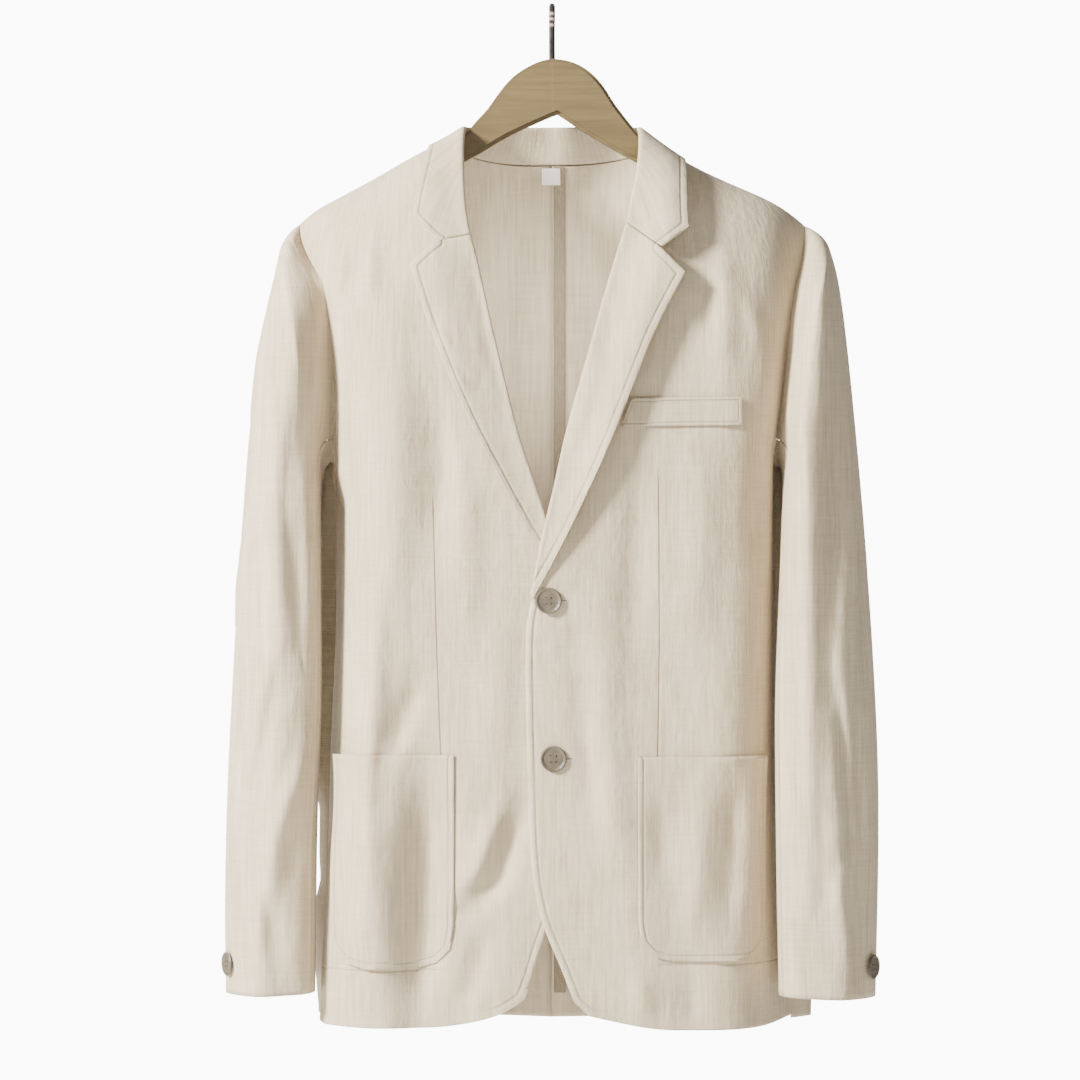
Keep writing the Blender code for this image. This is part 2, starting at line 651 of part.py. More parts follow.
def back_grid(side):
    """From the neck seam and the shoulder down to the hem, each row from the centre back to the side."""
    neck = COLLAR[side][:SHOULDER_LINE + 1]
    neck_end = neck[-1][0] + 2.5 * SEAM_GAP
    tip_x = ARMHOLE[side][-1][2] - SEAM_GAP / 2
    tip_z = ARMHOLE_TIP[side]
    level_z = tip_z - LEVEL_FROM
    rows = []
    for drop in SHOULDER_DROPS:
        if drop > LEVEL_FROM:
            break
        out_z = tip_z - drop
        out_x = float(read(ARMHOLE_COLUMNS, ARMHOLE[side], "back_x", out_z)) - SEAM_GAP
        way = drop / LEVEL_FROM
        row = []
        end = round_at(side, out_x, out_z, BACK_FACE)
        rounds = row_rounds(side, BACK_FACE, section(side, round(out_z, 3))[0][-1], end, out_z, BACK_COLUMNS)
        for k, part in enumerate(np.linspace(0, 1, BACK_COLUMNS + 1)):
            far = spread(part)
            # the top row follows the neck seam round to the shoulder, then the ridge out to the armhole
            if k < len(NECK_COLUMNS):
                top_x, top_drop = neck[NECK_COLUMNS[k]][:2]
                top_x, top_drop = top_x + 0.5 * SEAM_GAP, top_drop + (1.0 if top_drop else 0)
                top_x += 2 * SEAM_GAP if k else 0
            else:
                top_x, top_drop = neck_end + (k - 5) / (BACK_COLUMNS - 5) * (tip_x - neck_end), 0
            low_x = max(SEAM_GAP / 2, side * body_point(side, rounds[k], out_z)[0])
            ease = way ** 0.8
            x = top_x + ease * (low_x - top_x)
            if part == 1:
                x = out_x
            top_z = ridge(side, top_x) - top_drop
            z = top_z + way * (level_z - top_z)
            if part == 1:
                z = out_z
            here = max(ridge(side, x) - z, 0.0)
            if drop == 0 and top_drop == 0:
                point, normal = shoulder(side, x, 0)
                row.append((point + np.array((0, SEAM_GAP / 2, 0)), normal))
            else:
                row.append(shoulder(side, x, max(here, 0.02)))
        rows.append(row)
    levels = [tip_z - drop for drop in SHOULDER_DROPS if drop > LEVEL_FROM] + list(BODY_LEVELS)
    hem_side, hem_middle = BACK_HEM[side]
    stretch = [(level, level) for level in levels]
    for way in HEM_PARTS:
        stretch.append(tuple(levels[-1] + way * (hem - levels[-1]) for hem in (hem_side, hem_middle)))
    for side_z, middle_z in stretch:
        row = []
        for k, part in enumerate(np.linspace(0, 1, BACK_COLUMNS + 1)):
            far = spread(part)
            z = middle_z + far * (side_z - middle_z)
            start = section(side, round(z, 3))[0][-1] - SEAM_GAP / 2
            at = row_rounds(side, BACK_FACE, start, back_limit(side, z), z, BACK_COLUMNS)[k]
            row.append(body(side, at, z))
        rows.append(row)
    return rows


def make_fronts_and_backs(finish):
    for side, word in ((LEFT, "left"), (RIGHT, "right")):
        grid = front_grid(side)
        lift = [[lapped(side, side * point[0], point[2]) for point, _ in row] for row in grid]
        panel(f"front_{word}", grid, finish, lift)
        panel(f"back_{word}", back_grid(side), finish)


# ---------------------------------------------------------------- sleeves

SLEEVE_COLUMNS = ("out_x", "out_z", "in_x", "in_z", "middle_y", "depth", "pitch")
SLEEVE = {
    # each ring's outer and inner point, its middle and half depth, and how far its front leans to the body
    RIGHT: (
        (241, -218, 199.5, -410, -3, 72, 0.04),
        (246, -241, 200.5, -415, -3, 73, 0.06),
        (254.5, -272, 201, -423, -4, 73, 0.08),
        (261, -318, 201.3, -437, -6, 72, 0.10),
        (267.5, -375, 201, -460, -9, 70, 0.13),
        (272.5, -445, 200.5, -495, -13, 67, 0.16),
        (276.8, -510, 200, -535, -17, 63, 0.18),
        (279.8, -572, 199.6, -580, -20, 59, 0.2),
        (282, -618, 200, -620, -22, 56, 0.2),
        (284, -660, 201.5, -660, -23, 54, 0.2),
        (285.3, -700, 202.8, -700, -24, 52, 0.2),
        (286.2, -741, 203.7, -740, -25, 50, 0.2),
        (286.7, -782, 204.2, -780, -25, 48, 0.2),
        (286.4, -822, 204.7, -820, -26, 46, 0.2),
        (285.7, -861.5, 205.2, -859, -26, 44, 0.2),
    ),
    LEFT: (
        (245, -213, 201, -411, -5, 72, 0.04),
        (251, -232, 201, -416, -7, 73, 0.06),
        (256, -262, 200.5, -424, -10, 73, 0.09),
        (261.5, -307, 199.7, -437, -14, 72, 0.13),
        (267, -364, 198.5, -458, -19, 70, 0.17),
        (272.5, -430, 197, -490, -26, 66, 0.21),
        (277.5, -500, 195, -528, -32, 62, 0.24),
        (280.5, -560, 193, -570, -37, 57, 0.25),
        (283, -614, 191.5, -616, -41, 54, 0.25),
        (284.3, -658, 191.7, -658, -44, 51, 0.25),
        (284.5, -699, 192, -699, -46, 49, 0.25),
        (284.2, -740, 192.5, -740, -48, 47, 0.25),
        (283.3, -781, 193, -781, -49, 45, 0.25),
        (282.2, -822, 194, -821, -50, 43, 0.25),
        (281.3, -862, 194.8, -859, -50, 42, 0.25),
    ),
}
HEAD_COLUMNS = ("across", "through", "down")
HEAD = ((0.3, 0.42, 0.12), (0.68, 0.75, 0.4), (0.92, 0.93, 0.74))  # the way from the armhole to the first ring
SLEEVE_FOLD_COLUMNS = ("side", "turn", "z_top", "z_low", "width", "height")
SLEEVE_FOLDS = (
    # long soft folds down the sleeves: turn is degrees round from the outer edge, negative to the front
    (RIGHT, -62, -330, -900, 17, 4.0),
    (RIGHT, -105, -400, -900, 15, -3.5),
    (RIGHT, 70, -400, -900, 22, 3.5),
    (LEFT, -58, -330, -900, 17, 3.5),
    (LEFT, -100, -420, -900, 16, -3.0),
    (LEFT, 75, -380, -900, 22, 3.5),
)
FRONT_SEAM, HIND_SEAM = 10, 19  # columns of the ring where top and under sleeve meet


def armhole_ring(side):
    """The sleeve's first ring, set round the armhole just outside the body's edge."""
    tip_z = ARMHOLE_TIP[side]
    turns, points, normals = [], [], []
    front = [(drop, FRONT_FACE) for drop in SHOULDER_DROPS]
    back = [(drop, BACK_FACE) for drop in SHOULDER_DROPS[-2:0:-1]]
    half = SHOULDER_DROPS[-1] / 2
    for drop, face in front + back:
        z = tip_z - drop
        arm = "front_x" if face == FRONT_FACE else "back_x"
        x = float(read(ARMHOLE_COLUMNS, ARMHOLE[side], arm, z))
        gap = SEAM_GAP
        if drop == 0:
            point, normal = shoulder(side, x + gap, 0)
        elif drop < 40:
            point, normal = shoulder(side, x + gap, face * (ridge(side, x) - z))
        else:
            last = drop == SHOULDER_DROPS[-1]
            point, normal = body(side, seam_round(side, z, face) - face * (0 if last else SEAM_GAP), z)
            low = max(0.0, (drop - 135) / 75)
            point = point + normal * 2.2 * low + np.array((0, 0, -1.6 * low ** 3))
        turns.append(face * math.acos(np.clip((half - drop) / half, -1, 1)))
        points.append(point)
        normals.append(normal)
    return np.array(turns), np.array(points), np.array(normals)


def sleeve_fold(side, turn, z):
    total = 0.0
    for row in SLEEVE_FOLDS:
        fold = dict(zip(SLEEVE_FOLD_COLUMNS, row))
        if fold["side"] != side or z > fold["z_top"]:
            continue
        ease = min(1.0, (fold["z_top"] - z) / 120)
        ease = ease * ease * (3 - 2 * ease)
        total += fold["height"] * ease * math.exp(-(((turn - fold["turn"]) / fold["width"]) ** 2))
    return total


def sleeve_rings(side):
    turns, start, start_normals = armhole_ring(side)
    rings = [start]
    for row in SLEEVE[side]:
        out_x, out_z, in_x, in_z, middle_y, depth, pitch = row
        lean = pitch * depth
        half = np.array((math.sqrt(((out_x - in_x) / 2) ** 2 - lean ** 2), (out_z - in_z) / 2))
        middle = np.array(((out_x + in_x) / 2, (out_z + in_z) / 2))
        ring = []
        for turn in turns:
            c, s = math.cos(turn), math.sin(turn)
            swell = 1 + sleeve_fold(side, math.degrees(turn), middle[1]) / depth
            x, z = middle + half * c
            y = middle_y + depth * s * swell
            x += lean * s
            ring.append((side * x, y, z))
        rings.append(np.array(ring))
    head = [start + (rings[1] - start) * part for part in HEAD]
    return np.array(rings[:1] + head + rings[1:]), start_normals


def sleeve_normals(side, rings, start_normals):
    round_ = np.roll(rings, -1, axis=1) - np.roll(rings, 1, axis=1)
    down = np.gradient(rings, axis=0)
    normals = np.cross(round_, down) * side
    normals /= np.linalg.norm(normals, axis=2, keepdims=True)
    middle = rings.mean(axis=1, keepdims=True)
    if np.sum(normals[4:] * (rings - middle)[4:]) < 0:
        normals = -normals
    normals[0] = start_normals
    return normals


def sleeve_piece(name, rings, normals, first, last, finish):
    """The columns of the sleeve from first to last, drawn in by half a seam gap at both ends."""
    count = rings.shape[1]
    order = [k % count for k in range(first, last + 1)]
    points, facing = rings[:, order].copy(), normals[:, order]
    for end, beside in ((0, 1), (-1, -2)):
        way = points[:, beside] - points[:, end]
        gap = np.full((len(points), 1), SEAM_GAP)
        gap[1:4] *= 2.8
        points[:, end] += way / np.linalg.norm(way, axis=1, keepdims=True) * gap
    return wall(name, points, points - facing * WALL, finish)


def make_sleeves(finish):
    for side, word in ((LEFT, "left"), (RIGHT, "right")):
        rings, start_normals = sleeve_rings(side)
        normals = sleeve_normals(side, rings, start_normals)
        count = rings.shape[1]
        sleeve_piece(f"top_sleeve_{word}", rings, normals, HIND_SEAM - count, FRONT_SEAM, finish)
        sleeve_piece(f"under_sleeve_{word}", rings, normals, FRONT_SEAM, HIND_SEAM, finish)


# ---------------------------------------------------------------- pockets, label and binding

PATCH_COLUMNS = ("inner_x", "outer_x", "top_z", "bottom_z", "corner")
PATCH = {
    RIGHT: (84.4, 190.5, -652, -836, 32),
    LEFT: (73.8, 184, -653.4, -830, 30),
}
PATCH_GAPE = {RIGHT: 5.0, LEFT: 1.5}  # how far the mouth's outer corner stands off the front
BREAST = {"inner_x": 59, "outer_x": 162.9, "top": -343.4, "bottom": -368, "slant": 2.2}


def laid_row(side, z, left, right, keep, inset=(0, 0)):
    """Where a piece laid on the front crosses its own columns and those of the front between its edges."""
    start = round_at(side, inner_edge(side, z, None), z, FRONT_FACE)
    rounds = row_rounds(side, FRONT_FACE, start, front_limit(side, z), z, PANEL_COLUMNS)
    ends = [round_at(side, x, z, FRONT_FACE) for x in (left, right)]
    row = [ends[0]] + [rounds[k] for k in keep]
    row += [row[-1] + part * (ends[1] - row[-1]) for part in (0.4, 0.7, 1)]
    least = 1.5
    low, high = ends[0] + inset[0], ends[1] - inset[1]
    return [min(max(at, low + least * k), high - least * (len(row) - 1 - k)) for k, at in enumerate(row)]


def columns_between(side, top, bottom, left, right, margin=5.0):
    """The front's columns that lie between two edges over all of a piece's height."""
    keep = []
    for k in range(1, PANEL_COLUMNS):
        inside = True
        for z in np.linspace(top, bottom, 5):
            row = laid_row(side, z, -300, 300, [k])
            ends = [round_at(side, edge, z, FRONT_FACE) for edge in (left, right)]
            inside = inside and ends[0] + margin < row[1] < ends[1] - margin
        if inside:
            keep.append(k)
    return keep


def make_patch_pocket(name, side, finish):
    inner_x, outer_x, top, bottom, corner = PATCH[side]
    keep = columns_between(side, top, bottom, inner_x, outer_x)
    heights = [top] + [z for z in BODY_LEVELS if top - 12 > z > bottom + corner + 8]
    heights += [(heights[-1] + bottom + corner) / 2, bottom + corner]
    rows = [(z, 0.0) for z in heights]
    rows += [(bottom + corner * (1 - math.sin(math.radians(turn))), corner * (1 - math.cos(math.radians(turn))))
             for turn in (30, 60, 90)]
    grid, lift = [], []
    for z, inset in rows:
        row = laid_row(side, z, inner_x, outer_x, keep, (inset, inset))
        grid.append([body(side, at, z) for at in row])
        mouth = max(0.0, 1 - (top - z) / 70) ** 2
        half = (row[0] + row[-1]) / 2
        lift.append([
            lapped(side, side * body_point(side, at, z)[0], z) + LAY_GAP + WALL
            + mouth * PATCH_GAPE[side] * max(0.0, (at - half) / (row[-1] - half)) ** 2
            for at in row])
    return panel(name, grid, finish, np.array(lift))


def lapel_edge_x(side, z):
    rows = LAPEL[side]
    heights = column(LAPEL_COLUMNS, rows, "outer_z")[::-1]
    return float(through(heights, column(LAPEL_COLUMNS, rows, "outer_x")[::-1], z))


def make_breast_pocket(finish):
    """The welt runs from the lapel's edge, where it disappears under it, to its open end."""
    top, bottom, slant = BREAST["top"], BREAST["bottom"], BREAST["slant"]
    start = lapel_edge_x(LEFT, top) + 1.5
    keep = columns_between(LEFT, top, bottom, start, BREAST["outer_x"])
    grid, lift = [], []
    for part in (0, 0.35, 0.75, 1):
        row = []
        z = top + part * (bottom - top)
        inner_x = max(BREAST["inner_x"], lapel_edge_x(LEFT, z) + 1.5)
        for at in laid_row(LEFT, z, inner_x, BREAST["outer_x"], keep):
            across = float(body_point(LEFT, at, z)[0]) / BREAST["outer_x"]
            row.append(body(LEFT, at, z + slant * (across - 1)))
        grid.append(row)
        lift.append([lapped(LEFT, point[0], point[2]) + LAY_GAP + WALL for point, _ in row])
    return panel("breast_pocket", grid, finish, np.array(lift))


LABEL = {"left": -9.5, "right": 8.0, "top": -133.5, "bottom": -148.5, "thick": 1.0}
BINDING = {"left": 2.0, "right": 12.4, "top": -133.0, "bottom": -872.0, "thick": 1.2}


def inside_back(x, z, inward):
    """A point of the back's inner face, moved further inside."""
    side = LEFT if x > 0 else RIGHT
    point, normal = body(side, round_at(side, abs(x), z, BACK_FACE), z)
    return point - normal * (WALL + inward), -normal


def inside_strip(name, shape, gap, across, heights, finish):
    xs = np.linspace(shape["left"], shape["right"], across)
    grid = [[inside_back(x, z, gap + shape["thick"]) for x in xs] for z in heights]
    return panel(name, grid, finish, 0.0, shape["thick"])


# ---------------------------------------------------------------- buttons

BUTTON = {"radius": 11.3, "thick": 3.0, "rim": 1.0, "rim_width": 2.4, "hole": 1.0, "hole_offset": 2.3}
CUFF_BUTTON_SCALE = 0.95
BUTTON_SEAT = 0.4
BUTTON_SIDES = 20


def turned_profile(scale):
    """Radius and height of the button's outline, from the middle of its back to the middle of its face."""
    radius, thick = BUTTON["radius"] * scale, BUTTON["thick"] * scale
    rim, width = BUTTON["rim"] * scale, BUTTON["rim_width"] * scale
    return (
        (0, 0), (0.75 * radius, 0), (radius, 0.6 * thick), (radius - 0.4 * width, thick),
        (radius - 1.3 * width, thick - rim), (0, thick - rim),
    )


def make_button(name, point, normal, scale, finish):
    shape = bmesh.new()
    profile = [shape.verts.new((r * MM, 0, h * MM)) for r, h in turned_profile(scale)]
    edges = [shape.edges.new(pair) for pair in zip(profile, profile[1:])]
    bmesh.ops.spin(shape, geom=profile + edges, cent=(0, 0, 0), axis=(0, 0, 1), angle=math.tau,
                   steps=BUTTON_SIDES, use_duplicate=False)
    bmesh.ops.remove_doubles(shape, verts=shape.verts, dist=1e-6)
    bmesh.ops.recalc_face_normals(shape, faces=shape.faces)
    mesh = bpy.data.meshes.new(name)
    shape.to_mesh(mesh)
    shape.free()
    mesh.shade_smooth()
    mesh.set_sharp_from_angle(angle=math.radians(35))
    mesh.materials.append(finish)
    button = bpy.data.objects.new(name, mesh)
    bpy.context.scene.collection.objects.link(button)
    facing = Vector(normal).to_track_quat("Z", "Y").to_matrix().to_4x4()
    place = Matrix.Translation(Vector(point) * MM) @ facing
    button.matrix_world = place
    offset = BUTTON["hole_offset"] * scale * MM
    for k, (dx, dy) in enumerate(((1, 1), (1, -1), (-1, 1), (-1, -1))):
        cut_hole(button, f"{name}_hole_{k}", place @ Matrix.Translation((dx * offset, dy * offset, 0)),
                 BUTTON["hole"] * scale, 12, sides=6)
    return button


def cut_hole(target, name, place, radius, half_height, sides=10):
    shape = bmesh.new()
    bmesh.ops.create_cone(shape, cap_ends=True, segments=sides, radius1=radius * MM, radius2=radius * MM,
                          depth=2 * half_height * MM)
    mesh = bpy.data.meshes.new(name)
    shape.to_mesh(mesh)
    shape.free()
    cutter = bpy.data.objects.new(name, mesh)
    bpy.context.scene.collection.objects.link(cutter)
    cutter.matrix_world = place
    cutter.hide_render = True
    cutter.display_type = "WIRE"
    hole = target.modifiers.new(name, "BOOLEAN")
    hole.operation = "DIFFERENCE"
    hole.object = cutter


BUTTON_PLACES = (("button_upper", -3.1, -518.9), ("button_lower", 1.1, -654.9))
CUFF_BUTTON = {"turn_column": 2, "ring": -2}


def make_buttons(finish):
    for name, x, z in BUTTON_PLACES:
        point, normal = body(LEFT, round_at(LEFT, x, z, FRONT_FACE), z)
        lift = max(lapped(LEFT, x + dx, z + dz) for dx in (-11, 0, 11) for dz in (-11, 0, 11))
        make_button(name, point + normal * (lift + BUTTON_SEAT), normal, 1.0, finish)
    for side, word in ((LEFT, "left"), (RIGHT, "right")):
        rings, start_normals = sleeve_rings(side)
        normals = sleeve_normals(side, rings, start_normals)
        ring, turn = CUFF_BUTTON["ring"], CUFF_BUTTON["turn_column"]
        point = 0.67 * rings[ring, turn] + 0.33 * rings[ring + 1, turn]
        normal = normals[ring, turn]
        make_button(f"cuff_button_{word}", point + normal * (BUTTON_SEAT + 0.5), normal, CUFF_BUTTON_SCALE, finish)


# ---------------------------------------------------------------- hanger and hook

HANGER_DEPTH = 13.0
HANGER_COLUMNS = ("x", "z")
HANGER_TOP = {
    RIGHT: ((0.15, -43.6), (12, -45.8), (24.6, -52.4), (36, -60.3), (47.5, -74.4), (57.2, -89.3), (66, -97.6),
            (71.5, -104.5), (75, -109)),
    LEFT: ((0.15, -43.6), (13, -44.6), (25.5, -49.3), (37, -57.6), (46.6, -69), (53.7, -81.8), (62.5, -93.2),
           (70.5, -103.2), (75, -108.5)),
}
HANGER_LOW = {
    RIGHT: ((203, -194), (191, -193), (151, -172), (108, -151), (74.3, -132.4), (60.7, -125.4), (47.5, -116.6),
            (30.8, -107.8), (15, -100.8), (0.15, -94.2)),
    LEFT: ((203, -194), (191, -193), (151, -173), (108, -152), (70.4, -132.9), (42.2, -116.6), (22, -104.3),
           (9, -95), (4.5, -92.6), (0.15, -94.2)),
}
HANGER_CLEAR = 1.2  # between the arm and the cloth that lies on it
ARM_STOPS = (82, 90, 100, 112, 127, 142, 158, 175, 190, 199)
WOOD_BEVEL = 3.0
WIRE = 5.5
HOOK_BEND = 17.0  # inner radius of the hook
HOOK_COLUMNS = ("y", "z")
HOOK_SHANK = ((0, -61), (0, -54), (0, -48), (0, -43.4), (2.4, -38.4), (8.2, -33.8))


def make_hanger(finish):
    for side, word in ((LEFT, "left"), (RIGHT, "right")):
        under_cloth = WALL * 1.2 + HANGER_CLEAR
        arm = [(x, ridge(side, x) - under_cloth - max(0.0, (94 - x) / 8)) for x in ARM_STOPS]
        tip = [(205.5, arm[-1][1] - 6), (206, arm[-1][1] - 12)]
        outline = list(HANGER_TOP[side]) + arm + tip + list(HANGER_LOW[side])
        outline = [(side * x * MM, z * MM) for x, z in outline]
        shape = bmesh.new()
        corners = [shape.verts.new((x, -HANGER_DEPTH / 2 * MM, z)) for x, z in outline]
        face = shape.faces.new(corners)
        grown = bmesh.ops.extrude_face_region(shape, geom=[face])
        moved = [item for item in grown["geom"] if isinstance(item, bmesh.types.BMVert)]
        bmesh.ops.translate(shape, verts=moved, vec=(0, HANGER_DEPTH * MM, 0))
        bmesh.ops.recalc_face_normals(shape, faces=shape.faces)
        middle = side * 1.0 * MM
        rims = [edge for edge in shape.edges
                if abs(edge.verts[0].co.y - edge.verts[1].co.y) < 1e-6
                and max(abs(v.co.x) for v in edge.verts) > abs(middle)]
        bmesh.ops.bevel(shape, geom=rims, offset=WOOD_BEVEL * MM, segments=2, affect="EDGES", clamp_overlap=True)
        mesh = bpy.data.meshes.new(f"hanger_{word}")
        shape.to_mesh(mesh)
        shape.free()
        mesh.shade_smooth()
        mesh.set_sharp_from_angle(angle=math.radians(40))
        mesh.materials.append(finish)
        half = bpy.data.objects.new(f"hanger_{word}", mesh)
        bpy.context.scene.collection.objects.link(half)
        cut_hole(half, f"shank_hole_{word}", Matrix.Translation((0, 0, HOOK_SHANK[0][1] * MM)),
                 WIRE / 2 + SEAM_GAP, -HOOK_SHANK[0][1] - 61 + 18, sides=20)


def hook_line():
    """The hook's centreline: up the shank, back and over the top, and down to its free end in front."""
    bend = HOOK_BEND + WIRE / 2
    arc = [(bend * math.cos(math.radians(turn)), -HOOK_BEND + bend * math.sin(math.radians(turn)))
           for turn in np.linspace(-38, 168, 15)]
    route = np.array(list(HOOK_SHANK) + arc, float)
    along = np.concatenate(([0], np.cumsum(np.linalg.norm(np.diff(route, axis=0), axis=1))))
    stops = np.linspace(0, along[-1], 32)
    return [(0, float(through(along, route[:, 0], s)), float(through(along, route[:, 1], s))) for s in stops]


def make_hook(finish):
    curve = bpy.data.curves.new("hanger_hook", "CURVE")
    curve.dimensions = "3D"
    curve.bevel_depth = WIRE / 2 * MM
    curve.bevel_resolution = 3
    curve.use_fill_caps = True
    line = hook_line()
    spline = curve.splines.new("POLY")
    spline.points.add(len(line) - 1)
    for spot, point in zip(spline.points, line):
        spot.co = (*[c * MM for c in point], 1)
    curve.materials.append(finish)
    hook = bpy.data.objects.new("hanger_hook", curve)
    bpy.context.scene.collection.objects.link(hook)


def main():
    for old in list(bpy.data.objects):
        bpy.data.objects.remove(old)
    linen = material("linen", (0.70, 0.62, 0.52), 0.85)
    label = material("white_tape", (0.86, 0.84, 0.80), 0.8)
    horn = material("taupe_button", (0.40, 0.35, 0.28), 0.35)
    wood = material("beech", (0.46, 0.33, 0.18), 0.45)
    steel = material("dark_steel", (0.08, 0.075, 0.07), 0.35, 1.0)
    make_fronts_and_backs(linen)
    make_collar(linen)
    make_lapel("lapel_left", LEFT, linen)
    make_lapel("lapel_right", RIGHT, linen)
    make_sleeves(linen)
    make_patch_pocket("pocket_left", LEFT, linen)
    make_patch_pocket("pocket_right", RIGHT, linen)
    make_breast_pocket(linen)
    inside_strip("back_seam_binding", BINDING, 0.7, 3,
                 np.linspace(BINDING["top"], BINDING["bottom"], 28), linen)
    inside_strip("neck_label", LABEL, 0.7 + BINDING["thick"] + 0.4, 4,
                 np.linspace(LABEL["top"], LABEL["bottom"], 3), label)
    make_buttons(horn)
    make_hanger(wood)
    make_hook(steel)


main()
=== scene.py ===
# %% [markdown]
# # A light linen blazer on a wooden hanger
# The solids of the blazer are loaded first and never changed: they are thin walls of cloth, a flat
# wooden hanger and a bent wire hook. Each wall is copied, made finer and given its soft folds, its
# stitches and its linen. Everything is in metres, and the hook's highest inner point is the origin.

# %% Tools and the fixed solids
import json
import math

import bpy
import numpy as np
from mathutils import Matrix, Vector
from mathutils.bvhtree import BVHTree
from mathutils.kdtree import KDTree

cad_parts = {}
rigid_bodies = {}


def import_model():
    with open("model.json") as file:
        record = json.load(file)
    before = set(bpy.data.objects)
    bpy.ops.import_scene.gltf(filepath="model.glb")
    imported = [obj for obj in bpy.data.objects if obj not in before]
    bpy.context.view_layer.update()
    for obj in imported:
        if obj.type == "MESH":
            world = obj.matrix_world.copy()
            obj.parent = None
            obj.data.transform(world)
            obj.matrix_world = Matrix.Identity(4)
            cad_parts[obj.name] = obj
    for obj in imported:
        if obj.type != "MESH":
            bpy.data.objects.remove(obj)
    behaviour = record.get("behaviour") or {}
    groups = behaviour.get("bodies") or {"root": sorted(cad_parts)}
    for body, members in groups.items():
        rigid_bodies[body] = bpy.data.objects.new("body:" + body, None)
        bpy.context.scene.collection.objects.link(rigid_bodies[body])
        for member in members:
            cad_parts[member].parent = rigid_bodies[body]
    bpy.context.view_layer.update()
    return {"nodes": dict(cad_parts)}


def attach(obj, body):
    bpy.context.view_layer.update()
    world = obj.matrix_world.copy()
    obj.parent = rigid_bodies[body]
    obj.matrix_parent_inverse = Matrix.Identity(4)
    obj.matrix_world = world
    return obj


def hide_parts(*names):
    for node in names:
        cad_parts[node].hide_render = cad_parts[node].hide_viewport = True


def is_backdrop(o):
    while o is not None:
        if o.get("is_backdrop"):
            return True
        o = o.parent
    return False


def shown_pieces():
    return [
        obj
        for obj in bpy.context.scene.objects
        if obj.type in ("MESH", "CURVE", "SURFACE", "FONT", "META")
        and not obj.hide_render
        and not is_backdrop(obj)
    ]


MM = 0.001
LEFT, RIGHT = 1, -1  # the wearer's own sides

for spare in list(bpy.data.objects):
    bpy.data.objects.remove(spare)
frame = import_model()
nodes = frame["nodes"]
bpy.ops.object.select_all(action="DESELECT")

# %% [markdown]
# ## The camera
# A long lens from far away keeps a garment's outline true, as a catalogue picture does. It stands
# level with the middle of the blazer and looks straight at its front.

# %% Camera
CAMERA_AWAY = 3.3  # metres from the blazer's middle plane
SHOWN_WIDTH = 0.9504  # metres of that plane across the picture
CAMERA_X, CAMERA_Z = -0.01056, -0.4668
bpy.ops.object.camera_add(location=(CAMERA_X, -CAMERA_AWAY, CAMERA_Z), rotation=(math.radians(90), 0, 0))
camera = bpy.context.object
camera.name = "camera"
camera.data.sensor_width = 36
camera.data.lens = camera.data.sensor_width * CAMERA_AWAY / SHOWN_WIDTH
camera.data.clip_end = 30
bpy.context.scene.camera = camera
print("lens", round(camera.data.lens, 1), "mm")

# %% [markdown]
# ## Light and floor
# Cloth shows its folds only when light comes from one side. A soft lamp up on the left makes the
# shadows, a weak one in front and a pale surround fill them, and one behind shows the back's folds.
# A very small lamp is hidden in the open neck, as studios do, so that the inside of the back isn't
# lost in the dark. The floor lies well below the hem.


# %% Surround, lamps and floor
def surround(colour, fill, seen):
    """A pale surround: it lights the cloth with one strength and is seen behind it with another."""
    world = bpy.data.worlds.new("surround")
    world.use_nodes = True
    tree = world.node_tree
    shade = tree.nodes["Background"]
    path = tree.nodes.new("ShaderNodeLightPath")
    choice = tree.nodes.new("ShaderNodeMapRange")
    choice.inputs["To Min"].default_value = fill
    choice.inputs["To Max"].default_value = seen
    tree.links.new(path.outputs["Is Camera Ray"], choice.inputs["Value"])
    tree.links.new(choice.outputs[0], shade.inputs["Strength"])
    shade.inputs["Color"].default_value = (*colour, 1)
    bpy.context.scene.world = world


def soft_lamp(name, place, aim, size, power, colour=(1, 1, 1)):
    bpy.ops.object.light_add(type="AREA", location=place)
    lamp = bpy.context.object
    lamp.name = name
    lamp.rotation_euler = (Vector(aim) - Vector(place)).to_track_quat("-Z", "Y").to_euler()
    lamp.data.shape = "DISK"
    lamp.data.size = size
    lamp.data.energy = power
    lamp.data.color = colour
    return lamp


MIDDLE = (0, 0, -0.45)
WARM = (1.0, 0.98, 0.95)
surround((1.0, 0.99, 0.975), fill=0.40, seen=11.0)
soft_lamp("key_lamp", (-2.5, -1.75, 1.05), MIDDLE, size=0.65, power=545, colour=WARM)
soft_lamp("front_fill", (0.3, -3.6, 0.1), MIDDLE, size=1.6, power=27, colour=WARM)
soft_lamp("back_lamp", (-1.9, 2.7, 1.2), MIDDLE, size=1.0, power=110, colour=WARM)
neck_lamp = soft_lamp("neck_lamp", (0.0, -0.03, -0.28), (0.0, 0.06, -0.28), size=0.22, power=0.5)
neck_lamp.visible_camera = False

bpy.ops.mesh.primitive_plane_add(size=5, location=(0, 0, -1.35))
floor = bpy.context.object
floor.name = "floor"
floor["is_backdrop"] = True
floor_paint = bpy.data.materials.new("pale_floor")
floor_paint.use_nodes = True
floor_shader = floor_paint.node_tree.nodes["Principled BSDF"]
floor_shader.inputs["Base Color"].default_value = (0.9, 0.9, 0.89, 1)
floor_shader.inputs["Roughness"].default_value = 0.9
floor.data.materials.append(floor_paint)

# %% [markdown]
# ## Finer walls
# The solids' walls have long facets. A copy is merged, turned back into four-sided faces, and its
# sharp rims are creased, so that a Subdivision Surface rounds the cloth but keeps each cut edge.


# %% A finer copy of a wall
def select_only(piece):
    bpy.ops.object.select_all(action="DESELECT")
    piece.select_set(True)
    bpy.context.view_layer.objects.active = piece


